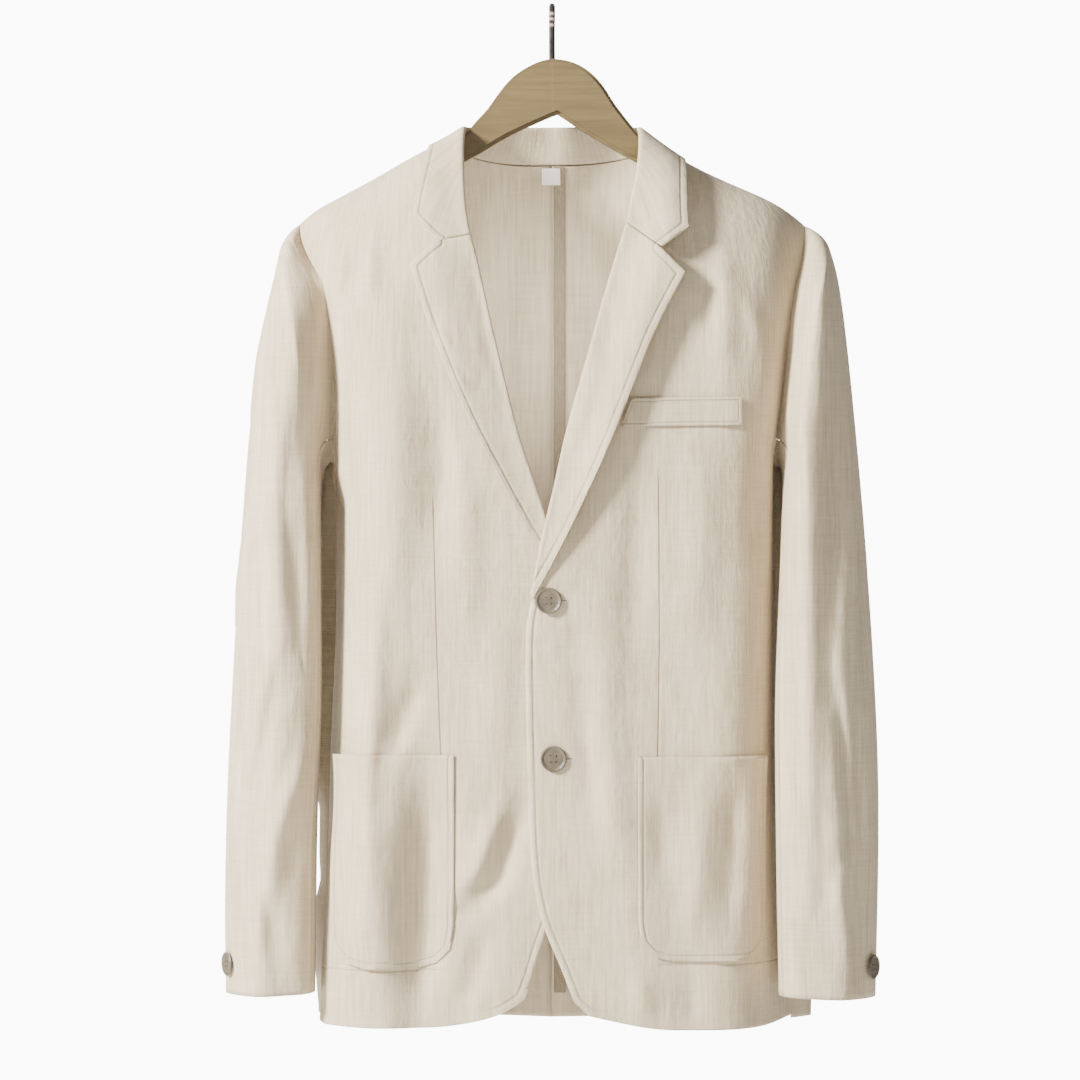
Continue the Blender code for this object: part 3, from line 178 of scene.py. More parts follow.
def keep_corners(piece, turn=24):
    """A rim's corner keeps its point: each vertex where the rim turns by more than some degrees."""
    mesh = piece.data
    crease = mesh.attributes["crease_edge"].data
    rims = {}
    for edge in mesh.edges:
        if crease[edge.index].value > 0.5:
            for one, other in (edge.vertices, tuple(edge.vertices)[::-1]):
                rims.setdefault(one, []).append(mesh.vertices[other].co - mesh.vertices[one].co)
    pointed = mesh.attributes.get("crease_vert") or mesh.attributes.new("crease_vert", "FLOAT", "POINT")
    for vertex, ways in rims.items():
        if len(ways) == 2 and ways[0].angle(-ways[1]) > math.radians(turn):
            pointed.data[vertex].value = 1


def finer_wall(node_name, piece_name, levels, sharp=50, nudges=()):
    node = nodes[node_name]
    piece = node.copy()
    piece.data = node.data.copy()
    piece.name = piece.data.name = piece_name
    for key in list(piece.keys()):
        del piece[key]
    bpy.context.scene.collection.objects.link(piece)
    piece.parent = None
    select_only(piece)
    bpy.ops.object.mode_set(mode="EDIT")
    bpy.ops.mesh.select_all(action="SELECT")
    bpy.ops.mesh.remove_doubles(threshold=0.00002)
    bpy.ops.mesh.tris_convert_to_quads(face_threshold=math.radians(60), shape_threshold=math.radians(60))
    bpy.ops.object.mode_set(mode="OBJECT")
    for (from_x, from_z), (to_x, to_z) in nudges:  # a corner that the facets missed is put in its place
        for vertex in piece.data.vertices:
            if math.hypot(vertex.co.x / MM - from_x, vertex.co.z / MM - from_z) < 0.8 and vertex.co.y < 0:
                vertex.co.x += (to_x - from_x) * MM
                vertex.co.z += (to_z - from_z) * MM
    bpy.ops.object.mode_set(mode="EDIT")
    bpy.ops.mesh.select_all(action="DESELECT")
    bpy.ops.mesh.select_mode(type="EDGE")
    bpy.ops.mesh.edges_select_sharp(sharpness=math.radians(sharp))
    bpy.ops.transform.edge_crease(value=1)
    bpy.ops.object.mode_set(mode="OBJECT")
    keep_corners(piece)
    if levels:
        finer = piece.modifiers.new("finer", "SUBSURF")
        finer.levels = finer.render_levels = levels
        bpy.ops.object.modifier_apply(modifier="finer")
    bpy.ops.object.shade_smooth_by_angle(angle=math.radians(sharp))
    piece.data.materials.clear()
    return piece


def points_of(piece):
    points = np.empty(len(piece.data.vertices) * 3, np.float32)
    piece.data.vertices.foreach_get("co", points)
    return points.reshape(-1, 3).astype(float)


def set_points(piece, points):
    piece.data.vertices.foreach_set("co", points.astype(np.float32).ravel())
    piece.data.update()


WALL_LEVELS = {"front": 3, "back": 2, "top_sleeve": 3, "under_sleeve": 2, "lapel": 3, "pocket": 3}
CLOTH = {}
for side_name in ("left", "right"):
    for part, levels in WALL_LEVELS.items():
        name = f"{part}_{side_name}"
        CLOTH[name] = finer_wall(name, f"linen_{name}", levels)
COLLAR_NOTCHES = ((-97.5, -209.3), (94.4, -215.0))  # x and z in mm
NOTCH_NUDGES = (((-93.15, -207.8), COLLAR_NOTCHES[0]), ((97.35, -213.0), COLLAR_NOTCHES[1]))
CLOTH["collar"] = finer_wall("collar", "linen_collar", 3, nudges=NOTCH_NUDGES)
CLOTH["breast_pocket"] = finer_wall("breast_pocket", "linen_breast_pocket", 3)
for name, piece in CLOTH.items():
    print(f"{piece.name}: {len(piece.data.polygons)} faces")

# %% [markdown]
# ## Soft folds
# Linen hangs in long broken folds, no two alike. A cloth simulation would also move the seams apart,
# so each fold is listed: a line of points, its width to either side and its height in
# millimetres. Every layer of the front is moved by the same folds, so the layers never cross.


# %% How a fold pushes cloth
def ramp(value, low, high):
    part = np.clip((value - low) / (high - low), 0, 1)
    return part * part * (3 - 2 * part)


def fold_push(across, along, folds):
    """The height in mm that all the folds together give at each place (two arrays in mm)."""
    total = np.zeros(len(across))
    for line, wide_one, wide_other, height in folds:
        line = np.array(line, float)
        legs = np.diff(line, axis=0)
        lengths = np.hypot(legs[:, 0], legs[:, 1])
        starts = np.concatenate(([0], np.cumsum(lengths)))
        nearest = np.full(len(across), 1e9)
        side = np.zeros(len(across))
        way = np.zeros(len(across))
        for (x, z), (dx, dz), length, start in zip(line[:-1], legs, lengths, starts):
            part = np.clip(((across - x) * dx + (along - z) * dz) / length ** 2, 0, 1)
            off_x, off_z = across - x - part * dx, along - z - part * dz
            gap = np.hypot(off_x, off_z)
            closer = gap < nearest
            nearest = np.where(closer, gap, nearest)
            side = np.where(closer, dx * off_z - dz * off_x, side)
            way = np.where(closer, (start + part * length) / starts[-1], way)
        width = np.where(side > 0, wide_one, wide_other)
        # a fold is a third as high at its ends as in its middle
        fade = 0.35 + 0.65 * np.minimum(ramp(way, 0, 0.3), ramp(1 - way, 0, 0.3))
        total += height * np.exp(-((nearest / width) ** 2)) * fade
    return total


# %% Folds of the fronts
# each: its line of (x, z), width to one side, width to the other, height; all in mm
FRONT_FOLDS = (
    (((-155, -202), (-160, -260)), 10, 9, 1.2),
    (((-172, -227), (-179, -260)), 8, 8, -1.6),
    (((-172, -290), (-171, -372), (-169, -484)), 7, 12, -2.2),
    (((-133, -277), (-135, -363), (-138, -484), (-143, -570)), 19, 22, 2.2),
    (((-100, -346), (-95, -407), (-97, -467)), 12, 15, -2.0),
    (((-78, -407), (-73, -484), (-71, -553)), 14, 17, 1.5),
    (((-155, -510), (-158, -605), (-164, -682), (-160, -760)), 12, 15, 2.5),
    (((-114, -587), (-133, -635), (-143, -652)), 9, 14, -2.4),
    (((-106, -662), (-108, -742), (-112, -806), (-116, -890)), 17, 19, -4.6),
    (((-142, -680), (-144, -760), (-152, -840)), 15, 15, 2.2),
    (((-161, -691), (-159, -768), (-172, -829)), 12, 10, 2.5),
    (((-24, -691), (-45, -760), (-74, -787)), 9, 14, -2.6),
    (((-41, -691), (-64, -749), (-84, -777)), 9, 10, 2.2),
    (((-54, -803), (-71, -850), (-84, -876)), 12, 12, -1.6),
    (((-41, -484), (-47, -605), (-52, -674)), 15, 15, 1.2),
    (((-97, -288), (-86, -301)), 3, 3, 0.6),
    (((-86, -322), (-74, -334)), 3, 3, 0.6),
    (((-191, -839), (-178, -829)), 3, 3, -0.9),
    (((-188, -846), (-172, -839)), 3, 3, 0.8),
    (((165, -251), (180, -289), (187, -324), (194, -346)), 7, 9, 0.9),
    (((188, -260), (192, -299), (195, -333)), 4, 5, -0.8),
    (((181, -381), (179, -432), (176, -484)), 7, 10, -2.2),
    (((149, -208), (151, -269), (146, -329)), 10, 12, 1.3),
    (((132, -239), (134, -286)), 9, 9, -1.2),
    (((127, -389), (127, -484), (119, -562)), 17, 19, 1.8),
    (((76, -407), (72, -484), (67, -553)), 14, 14, -1.6),
    (((50, -518), (46, -605), (51, -691), (67, -777)), 17, 19, 1.8),
    (((24, -553), (28, -639), (41, -717)), 12, 12, -1.4),
    (((157, -669), (156, -734), (151, -803)), 9, 12, -2.0),
    (((127, -682), (126, -751), (119, -811)), 12, 12, 1.6),
    (((93, -691), (97, -760)), 10, 10, -1.2),
    (((172, -839), (189, -830)), 3, 3, 0.8),
    (((176, -850), (193, -841)), 3, 3, -0.8),
    (((76, -841), (80, -880)), 10, 10, 1.2),
    (((119, -850), (122, -882)), 10, 10, -1.2),
    (((41, -260), (33, -329), (12, -407)), 8, 8, 0.8),
    (((-71, -217), (-57, -286), (-35, -363)), 7, 7, -0.8),
)
print("folds of the fronts:", len(FRONT_FOLDS))

# %% Folds of the backs
BACK_FOLDS = (
    (((-60, -160), (-66, -230), (-58, -330)), 9, 12, -1.6),
    (((-34, -180), (-40, -300), (-36, -420)), 8, 12, 1.6),
    (((48, -158), (55, -172)), 2.5, 3.5, 1.0),
    (((38, -170), (44, -290), (36, -430)), 9, 12, -1.8),
    (((66, -190), (70, -320), (58, -470)), 12, 12, 1.8),
    (((-150, -235), (-128, -330), (-118, -470)), 10, 16, 2.4),
    (((-176, -300), (-165, -420), (-150, -560)), 12, 12, -2.2),
    (((152, -240), (138, -350), (120, -480)), 12, 15, 2.2),
    (((180, -310), (168, -430), (160, -540)), 10, 14, -2.4),
    (((-92, -430), (-84, -520), (-62, -580)), 12, 16, -1.3),
    (((96, -450), (80, -540), (58, -590)), 13, 15, -1.2),
    (((-140, -550), (-122, -600), (-96, -628)), 9, 12, 1.0),
    (((150, -535), (134, -580), (112, -604)), 9, 11, 0.9),
    (((-46, -620), (-52, -740), (-44, -872)), 15, 20, 2.6),
    (((-112, -640), (-120, -760), (-128, -870)), 14, 20, -3.0),
    (((48, -630), (58, -750), (54, -870)), 16, 16, -2.4),
    (((104, -640), (112, -760), (122, -868)), 16, 22, 2.8),
    (((166, -660), (172, -760), (170, -860)), 10, 14, -2.2),
    (((-172, -690), (-168, -790), (-176, -860)), 10, 12, 2.0),
)
print("folds of the backs:", len(BACK_FOLDS))

# %% Folds of the sleeves
# here x is degrees round the sleeve from its outer edge, negative to the front
SLEEVE_TURN = 1.0  # mm of cloth for one degree
SLEEVE_FOLDS = {
    RIGHT: (
        (((-112, -330), (-104, -430), (-116, -560)), 9, 14, -2.6),
        (((-82, -300), (-76, -420), (-86, -520)), 10, 14, 1.6),
        (((-58, -400), (-70, -540), (-56, -640)), 12, 14, -1.5),
        (((-100, -570), (-84, -640), (-70, -690)), 8, 12, -2.0),
        (((-124, -640), (-96, -720), (-80, -800)), 9, 12, 2.2),
        (((-70, -730), (-92, -800), (-98, -850)), 10, 14, -1.8),
        (((-36, -280), (-28, -330), (-40, -380)), 8, 8, 1.0),
        (((-60, -236), (-46, -262)), 4, 5, -1.3),
        (((-30, -600), (-44, -720), (-34, -830)), 14, 14, 1.2),
        (((60, -330), (72, -470), (58, -600)), 14, 16, -2.2),
        (((100, -420), (92, -560), (104, -700)), 12, 16, 2.2),
        (((64, -640), (84, -740), (76, -850)), 12, 12, -1.8),
        (((30, -480), (40, -540), (64, -572)), 6, 9, 1.5),
    ),
    LEFT: (
        (((-118, -300), (-110, -430), (-112, -600), (-116, -780)), 7, 10, 1.8),
        (((-92, -310), (-90, -450), (-96, -600)), 9, 12, -2.2),
        (((-66, -300), (-62, -440), (-70, -540)), 10, 12, 1.5),
        (((-98, -560), (-80, -650), (-74, -720), (-100, -770)), 8, 12, -2.0),
        (((-64, -620), (-52, -720), (-60, -820)), 10, 12, -1.6),
        (((-84, -700), (-88, -760), (-72, -850)), 9, 10, 1.6),
        (((-40, -330), (-34, -480), (-42, -600)), 12, 12, -1.4),
        (((-48, -238), (-36, -262)), 5, 5, -1.0),
        (((66, -320), (80, -470), (70, -600)), 14, 16, 2.2),
        (((104, -400), (96, -560), (108, -690)), 12, 14, -2.0),
        (((58, -660), (78, -750), (70, -850)), 12, 12, 1.6),
        (((28, -500), (42, -548), (66, -580)), 6, 9, -1.5),
    ),
}
SLEEVE_MIDDLE = {
    # the line down the middle of the sleeve: (z, y) in mm, at SLEEVE_OUT from the centre
    RIGHT: ((-200, -3), (-400, -10), (-600, -20), (-870, -26)),
    LEFT: ((-200, -5), (-400, -22), (-600, -40), (-870, -50)),
}
SLEEVE_OUT = 243.0  # mm from the blazer's centre to a sleeve's middle
FOLD_DEPTH = 2.6  # the height of every fold is multiplied by this
print("folds of the sleeves:", [len(folds) for folds in SLEEVE_FOLDS.values()])

# %% Armholes, sides and buttons
# under the arm the front is drawn in and the back is let out, both in mm, so the gap looks dark
SIDE_DRAW = {RIGHT: (7.0, 7.0), LEFT: (0.0, 7.0)}
# (z, share of the letting out): light shows through only where the share is small
GAP_SHOWS = (
    (-895, 0.1), (-850, 0.7), (-785, 0.8), (-766, 0.15),
    (-706, 0.1), (-670, 1), (-405, 1), (-391, 0),
)
ARM_VALLEY = {
    # beside the armhole: (z, its depth), all in mm
    RIGHT: ((-420, 0), (-395, 6.0), (-360, 9.0), (-310, 9.0), (-275, 5.0), (-250, 2.0), (-235, 0)),
    LEFT: ((-420, 0), (-390, 2.0), (-340, 2.5), (-290, 1.5), (-250, 0.5), (-235, 0)),
}
ARM_SHARE = {
    # how much of that depth there is: (mm past the body's edge, share)
    RIGHT: ((-7, 0), (-2, 0.75), (0, 1), (5, 1), (12, 0.75), (28, 0)),
    LEFT: ((-14, 0), (-7, 0.6), (-3, 1), (-1, 0.9), (1.5, 0), (3, 0)),
}
ARM_EDGE = {
    # where the body's cloth ends beside the sleeve: (z, x to that side) in mm
    RIGHT: ((-400, 190), (-330, 190), (-300, 192), (-262, 196), (-240, 200), (-225, 210)),
    LEFT: ((-400, 202), (-330, 202), (-300, 205.5), (-262, 209), (-240, 214), (-225, 218)),
}
# the front buttons lie flat: x, z, and the folds fade in between two distances, all in mm
QUIET_SPOTS = ((-3.1, -518.9, 13, 30), (1.1, -654.9, 13, 30))
print("no folds at", len(QUIET_SPOTS), "buttons")


# %% The cloth is moved
def middle_of_sleeve(side, height):
    table = np.array(SLEEVE_MIDDLE[side][::-1], float)
    return np.full(len(height), side * SLEEVE_OUT), np.interp(height, table[:, 0], table[:, 1])


def turn_round_sleeve(side, points):
    middle_x, middle_y = middle_of_sleeve(side, points[:, 2])
    return side * (points[:, 0] - middle_x), points[:, 1] - middle_y


def arm_valley(side, points):
    """How far the cloth sinks beside the armhole, the same for the body and the sleeve."""
    edge = np.interp(points[:, 2], *np.array(ARM_EDGE[side], float).T)
    depth = np.interp(points[:, 2], *np.array(ARM_VALLEY[side], float).T)
    share = np.interp(side * points[:, 0] - edge, *np.array(ARM_SHARE[side], float).T)
    return depth * share * ramp(-points[:, 1], 8, 30)


def lapel_fold_x(side, z):
    """Where the lapel's fold crosses each height: x towards its own side, all in mm."""
    table = {
        RIGHT: (
            (-514.5, -14), (-496, -9.5), (-470, -2), (-439.4, 7.1), (-405, 19.2), (-375, 29.4),
            (-332, 39.8), (-298, 48), (-260, 56.6), (-223, 64), (-204, 69.8),
        ),
        LEFT: (
            (-515.5, -18.6), (-488, -14), (-456, -7.5), (-420, 1.5), (-382, 9), (-348, 18.2),
            (-314, 28.3), (-278, 38), (-238, 49), (-209, 57.6), (-193, 62.6),
        ),
    }[side]
    return np.interp(z, *np.array(table, float).T)


LAPEL_LIFT = {RIGHT: 7.0, LEFT: 13.0}  # mm that the turned-back cloth stands off at its outer edge


def turned_lift(points, sides):
    """The lapel and the collar spring away from the front, the more the further from their fold."""
    x, y, z = points.T
    lift = np.zeros(len(points))
    for side in sides:
        height = LAPEL_LIFT[side]
        off_fold = side * x - lapel_fold_x(side, z)
        lift += height * ramp(off_fold, 4, 44) * ramp(-y, 4, 36)
    return lift


def drape_body(points):
    """Moves places of the body's cloth along y; takes and gives mm."""
    x, y, z = points.T
    front = ramp(-y, 12, 42) * ramp(193 - np.abs(x), 0, 18)
    for spot_x, spot_z, near, far in QUIET_SPOTS:
        front = front * ramp(np.hypot(x - spot_x, z - spot_z), near, far)
    back = ramp(y, 12, 34) * ramp(np.abs(x), 14, 34) * ramp(189 - np.abs(x), 0, 20) * ramp(-z, 118, 160)
    moved = points.copy()
    moved[:, 1] += FOLD_DEPTH * 1.2 * back * fold_push(x, z, BACK_FOLDS)
    moved[:, 1] -= FOLD_DEPTH * front * fold_push(x, z, FRONT_FOLDS)
    for side, (draw_in, let_out) in SIDE_DRAW.items():
        reach = np.interp(z, *np.array(GAP_SHOWS, float).T)
        near_side = ramp(z, -760, -640) * ramp(-z, 404, 440) * ramp(side * x, 120, 195)
        moved[:, 0] -= side * draw_in * near_side * ramp(-y, 2, 30)
        moved[:, 0] += side * let_out * reach * ramp(y, 4, 26) * ramp(side * x, 150, 195)
        moved[:, 1] += arm_valley(side, points)
    return moved


def drape_sleeve(points, side):
    out, ahead = turn_round_sleeve(side, points)
    reach = np.hypot(out, ahead)
    degrees = np.degrees(np.arctan2(ahead, out))
    free = ramp(-points[:, 2], 225, 290) * ramp(np.abs(points[:, 0]), 202, 218)
    push = FOLD_DEPTH * free * fold_push(degrees * SLEEVE_TURN, points[:, 2], SLEEVE_FOLDS[side])
    moved = points.copy()
    moved[:, 1] += arm_valley(side, points)
    moved[:, 0] += side * out / reach * push
    moved[:, 1] += ahead / reach * push
    return moved


for name, piece in CLOTH.items():
    points = points_of(piece) / MM
    if "sleeve" in name:
        points = drape_sleeve(points, LEFT if "left" in name else RIGHT)
    else:
        sides = {"lapel_left": (LEFT,), "lapel_right": (RIGHT,), "collar": (LEFT, RIGHT)}.get(name, ())
        lift = turned_lift(points, sides)
        points = drape_body(points)
        points[:, 1] -= lift
    if name.startswith("back_"):
        seam = np.abs(points[:, 0]) < 0.35
        points[seam, 0] = 0  # the two halves meet in the centre back seam
    set_points(piece, points * MM)
    low, high = points.min(0), points.max(0)
    print(f"{piece.name}: y {low[1]:.1f} to {high[1]:.1f} mm")

# %% [markdown]
# ## Where the cloth's threads run
# Linen is woven, so its pattern must follow the cut and not the space around it. Each piece gets a
# flat map in metres: across is the way round the body, up is the way along the warp.


# %% Maps in metres
def lay_map(piece, across, along):
    if "cloth" not in piece.data.uv_layers:
        piece.data.uv_layers.new(name="cloth")
    for spare in [u.name for u in piece.data.uv_layers if u.name != "cloth"]:
        piece.data.uv_layers.remove(piece.data.uv_layers[spare])
    layer = piece.data.uv_layers["cloth"]
    corners = np.empty(len(piece.data.loops), np.int32)
    piece.data.loops.foreach_get("vertex_index", corners)
    flat = np.stack([across[corners], along[corners]], axis=1).astype(np.float32)
    layer.data.foreach_set("uv", flat.ravel())


for name, piece in CLOTH.items():
    x, y, z = points_of(piece).T
    side = LEFT if "left" in name else RIGHT
    if "sleeve" in name:
        middle_x, middle_y = middle_of_sleeve(side, z / MM)
        out, ahead = side * (x - middle_x * MM), y - middle_y * MM
        turned = np.arctan2(ahead, out) if name.startswith("top") else np.arctan2(-ahead, -out)
        across = turned * 0.056  # the sleeve's radius in metres
        lay_map(piece, across + 0.4 * side, z)
    elif name.startswith("back"):
        rise = 0.07 - y
        across = side * (np.abs(x) + ramp(np.abs(x), 0.13, 0.2) * rise)
        lay_map(piece, across, z + ramp(z, -0.26, -0.16) * rise)
    elif name == "collar":
        lay_map(piece, np.arctan2(x, y) * 0.09, z - np.hypot(x, y) * 0.6)
    else:
        rise = y + 0.075
        across = x + np.sign(x) * ramp(np.abs(x), 0.13, 0.2) * rise
        lay_map(piece, across, z + ramp(z, -0.26, -0.16) * rise)
print("maps laid on", len(CLOTH), "pieces")

# %% [markdown]
# ## Cut edges and stitched lines
# A row of stitches follows an edge at an even distance. The rim of each piece is walked point by
# point, and a line is laid a few millimetres inside it. The distance to that rim is kept on the
# cloth as well, so that the linen can sink a little where the thread pulls it.


# %% Walking round a rim
STITCH_IN = {"lapel": 6.0, "front": 6.5, "pocket": 5.0, "breast": 3.0, "collar": 6.0}  # mm from the edge


def outward_of(name, places):
    """The way that the shown face of a piece looks at each place."""
    if name == "collar":
        way = np.stack([places[:, 0], places[:, 1], 0 * places[:, 0]], axis=1)
        return way / np.maximum(np.linalg.norm(way, axis=1, keepdims=True), 1e-9)
    return np.tile((0.0, -1.0, 0.0), (len(places), 1))


def length_of(line):
    return float(np.linalg.norm(np.diff(line, axis=0), axis=1).sum())


def rims_of(name):
    """The loops round the shown face of a piece: places, and the way from the rim into the cloth."""
    mesh = CLOTH[name].data
    points = points_of(CLOTH[name])
    faces = len(mesh.polygons)
    normals, centres = np.empty(faces * 3, np.float32), np.empty(faces * 3, np.float32)
    mesh.polygons.foreach_get("normal", normals)
    mesh.polygons.foreach_get("center", centres)
    normals, centres = normals.reshape(-1, 3).astype(float), centres.reshape(-1, 3).astype(float)
    edge_of_corner, counts = np.empty(len(mesh.loops), np.int32), np.empty(faces, np.int32)
    mesh.loops.foreach_get("edge_index", edge_of_corner)
    mesh.polygons.foreach_get("loop_total", counts)
    face_of_corner = np.repeat(np.arange(faces), counts)
    order = np.argsort(edge_of_corner, kind="stable")
    first, second = face_of_corner[order[0::2]], face_of_corner[order[1::2]]
    edges = np.empty(len(mesh.edges) * 2, np.int32)
    mesh.edges.foreach_get("vertices", edges)
    edges = edges.reshape(-1, 2)
    sharp = (normals[first] * normals[second]).sum(1) < 0.6
    # the shown face spreads from its most outward spot to every face that no sharp edge parts from it
    facing_out = (normals * outward_of(name, centres)).sum(1)
    seed = int(np.argmax(facing_out + 0.002 * (centres[:, 2] < -0.2)))
    shown = np.zeros(faces, bool)
    shown[seed] = True
    soft_one, soft_other = first[~sharp], second[~sharp]
    size = 0
    while shown.sum() > size:
        size = shown.sum()
        for _ in range(8):
            touch = shown[soft_one] | shown[soft_other]
            shown[soft_one[touch]] = True
            shown[soft_other[touch]] = True
    rim = sharp & (shown[first] != shown[second])
    inner_face = np.where(shown[first], first, second)
    links = {}
    for edge in np.flatnonzero(rim):
        for one, other in (edges[edge], edges[edge][::-1]):
            links.setdefault(int(one), []).append((int(other), int(edge)))
    loops, used = [], set()
    for start in sorted(links):
        if start in used:
            continue
        walk, here, came = [start], start, None
        used.add(start)
        inside = []
        while True:
            ahead = [(v, e) for v, e in links[here] if e != came and v not in used]
            if not ahead:
                break
            here, came = ahead[0]
            used.add(here)
            walk.append(here)
            inside.append(inner_face[came])
        if len(walk) > 12:
            places = points[walk]
            inside = np.array(inside + inside[-1:])
            along = np.roll(places, -1, axis=0) - np.roll(places, 1, axis=0)
            along[0], along[-1] = places[1] - places[0], places[-1] - places[-2]
            inward = np.cross(normals[inside], along)
            inward /= np.maximum(np.linalg.norm(inward, axis=1, keepdims=True), 1e-12)
            wrong = (inward * (centres[inside] - places)).sum(1) < 0
            inward[wrong] *= -1
            loops.append((places, inward))
    return loops


RIMS = {name: rims_of(name) for name in CLOTH if name.split("_")[0] in STITCH_IN}
for name, loops in RIMS.items():
    print(name, "rims of", [round(length_of(places), 3) for places, _ in loops], "m")


# %% Which edges are stitched
def outer_half(places):
    """Of the collar's whole rim, the part from notch to notch that passes the two collar tips."""
    x, z = places[:, 0] / MM, places[:, 2] / MM
    notches = [int(np.argmin(np.hypot(x - at_x, z - at_z))) for at_x, at_z in COLLAR_NOTCHES]
    inside = np.zeros(len(places), bool)
    inside[min(notches) : max(notches) + 1] = True
    return inside if np.abs(x[inside]).max() > np.abs(x[~inside]).max() else ~inside


def stitched(name, places):
    """True where the rim of this piece is a sewn edge and not a seam."""
    x, y, z = (places / MM).T
    side = LEFT if "left" in name else RIGHT
    if name.startswith("lapel"):
        off_fold = side * x - lapel_fold_x(side, z)
        notch = {LEFT: 92, RIGHT: 99}[side]
        return (off_fold > np.where(z < -470, 3.5, 9)) & ((z < -262) | (side * x > notch))
    if name.startswith("front"):
        hem = z < -850
        return (z < -522) & ((side * x < 40) | (hem & (side * x < 64)))
    if name.startswith("pocket"):
        return z < (-655 if side == LEFT else -654)
    if name == "breast_pocket":
        return x > 60
    return outer_half(places)


def tree_of(places):
    tree = KDTree(len(places))
    for k, place in enumerate(places):
        tree.insert(place, k)
    tree.balance()
    return tree


def sewn_runs(name):
    """The lines on which a piece is stitched, each where the rim is a sewn edge."""
    inset = STITCH_IN[name.split("_")[0]] * MM
    runs = []
    tree = tree_of(np.concatenate([places for places, _ in RIMS[name]]))
    for places, inward in RIMS[name]:
        good = stitched(name, places)
        line = places + inward * inset
        good &= np.array([tree.find(p)[2] > 0.93 * inset for p in line])
        ends = np.flatnonzero(np.diff(np.concatenate(([0], good.astype(int), [0]))))
        for start, stop in zip(ends[0::2], ends[1::2]):
            if stop - start > 5:
                runs.append(line[start:stop])
    return runs


SEWN = {name: sewn_runs(name) for name in RIMS}
for name, runs in SEWN.items():
    print(name, "stitched", [round(length_of(run), 3) for run in runs], "m")

# %% How far the cloth is from its sewn edge
DARTS = {
    # (z, x) of the long dart on each front, in mm
    RIGHT: ((-423, -102.5), (-500, -100.5), (-560, -99), (-620, -96.8), (-652, -95.5)),
    LEFT: ((-402, 91.5), (-480, 92.4), (-560, 92.5), (-620, 91.8), (-655, 91)),
}
HEM_LINE = {RIGHT: -838, LEFT: -833}
DRAWN_IN = 0.006  # the finish draws every stitched line this far from its edge, in metres
FAR = 0.05  # a distance at which no edge shows any more


def keep_on_cloth(piece, name, values):
    spot = piece.data.attributes.get(name) or piece.data.attributes.new(name, "FLOAT", "POINT")
    spot.data.foreach_set("value", values.astype(np.float32))


for name, piece in CLOTH.items():
    points = points_of(piece)
    reach = np.full(len(points), FAR)
    sewn = [places[stitched(name, places)] for places, _ in RIMS.get(name, [])]
    sewn = [places for places in sewn if len(places)]
    if sewn:
        tree = tree_of(np.concatenate(sewn))
        scale = DRAWN_IN / (STITCH_IN[name.split("_")[0]] * MM)
        reach = np.array([min(tree.find(point)[2] * scale, FAR) for point in points])
        if name == "collar":  # the stand's inner side is near the edge, but carries no stitches
            facing = np.empty(len(points) * 3, np.float32)
            piece.data.vertices.foreach_get("normal", facing)
            reach[(facing.reshape(-1, 3) * outward_of(name, points)).sum(1) < 0.1] = FAR
    keep_on_cloth(piece, "from_edge", reach)
    side = LEFT if "left" in name else RIGHT
    along_hem = name.startswith("front") * (points[:, 2] < -0.8)
    # the front's edge stitches die out along the hem
    keep_on_cloth(piece, "edge_share", 1 - along_hem * ramp(side * points[:, 0] / MM, 40, 60))
    if name.startswith("front"):
        x, y, z = (points / MM).T
        table = np.array(DARTS[side][::-1], float)
        keep_on_cloth(piece, "from_dart", (x - np.interp(z, table[:, 0], table[:, 1])) * MM)
        dart_top = -table[-1, 0]
        keep_on_cloth(piece, "dart_share", ramp(z, -700, -690) * ramp(-z, dart_top, dart_top + 18))
        keep_on_cloth(piece, "from_hem_line", (z - HEM_LINE[side]) * MM)
        keep_on_cloth(piece, "hem_share", ramp(side * x, 84, 100))
print("distances kept on", len(CLOTH), "pieces")
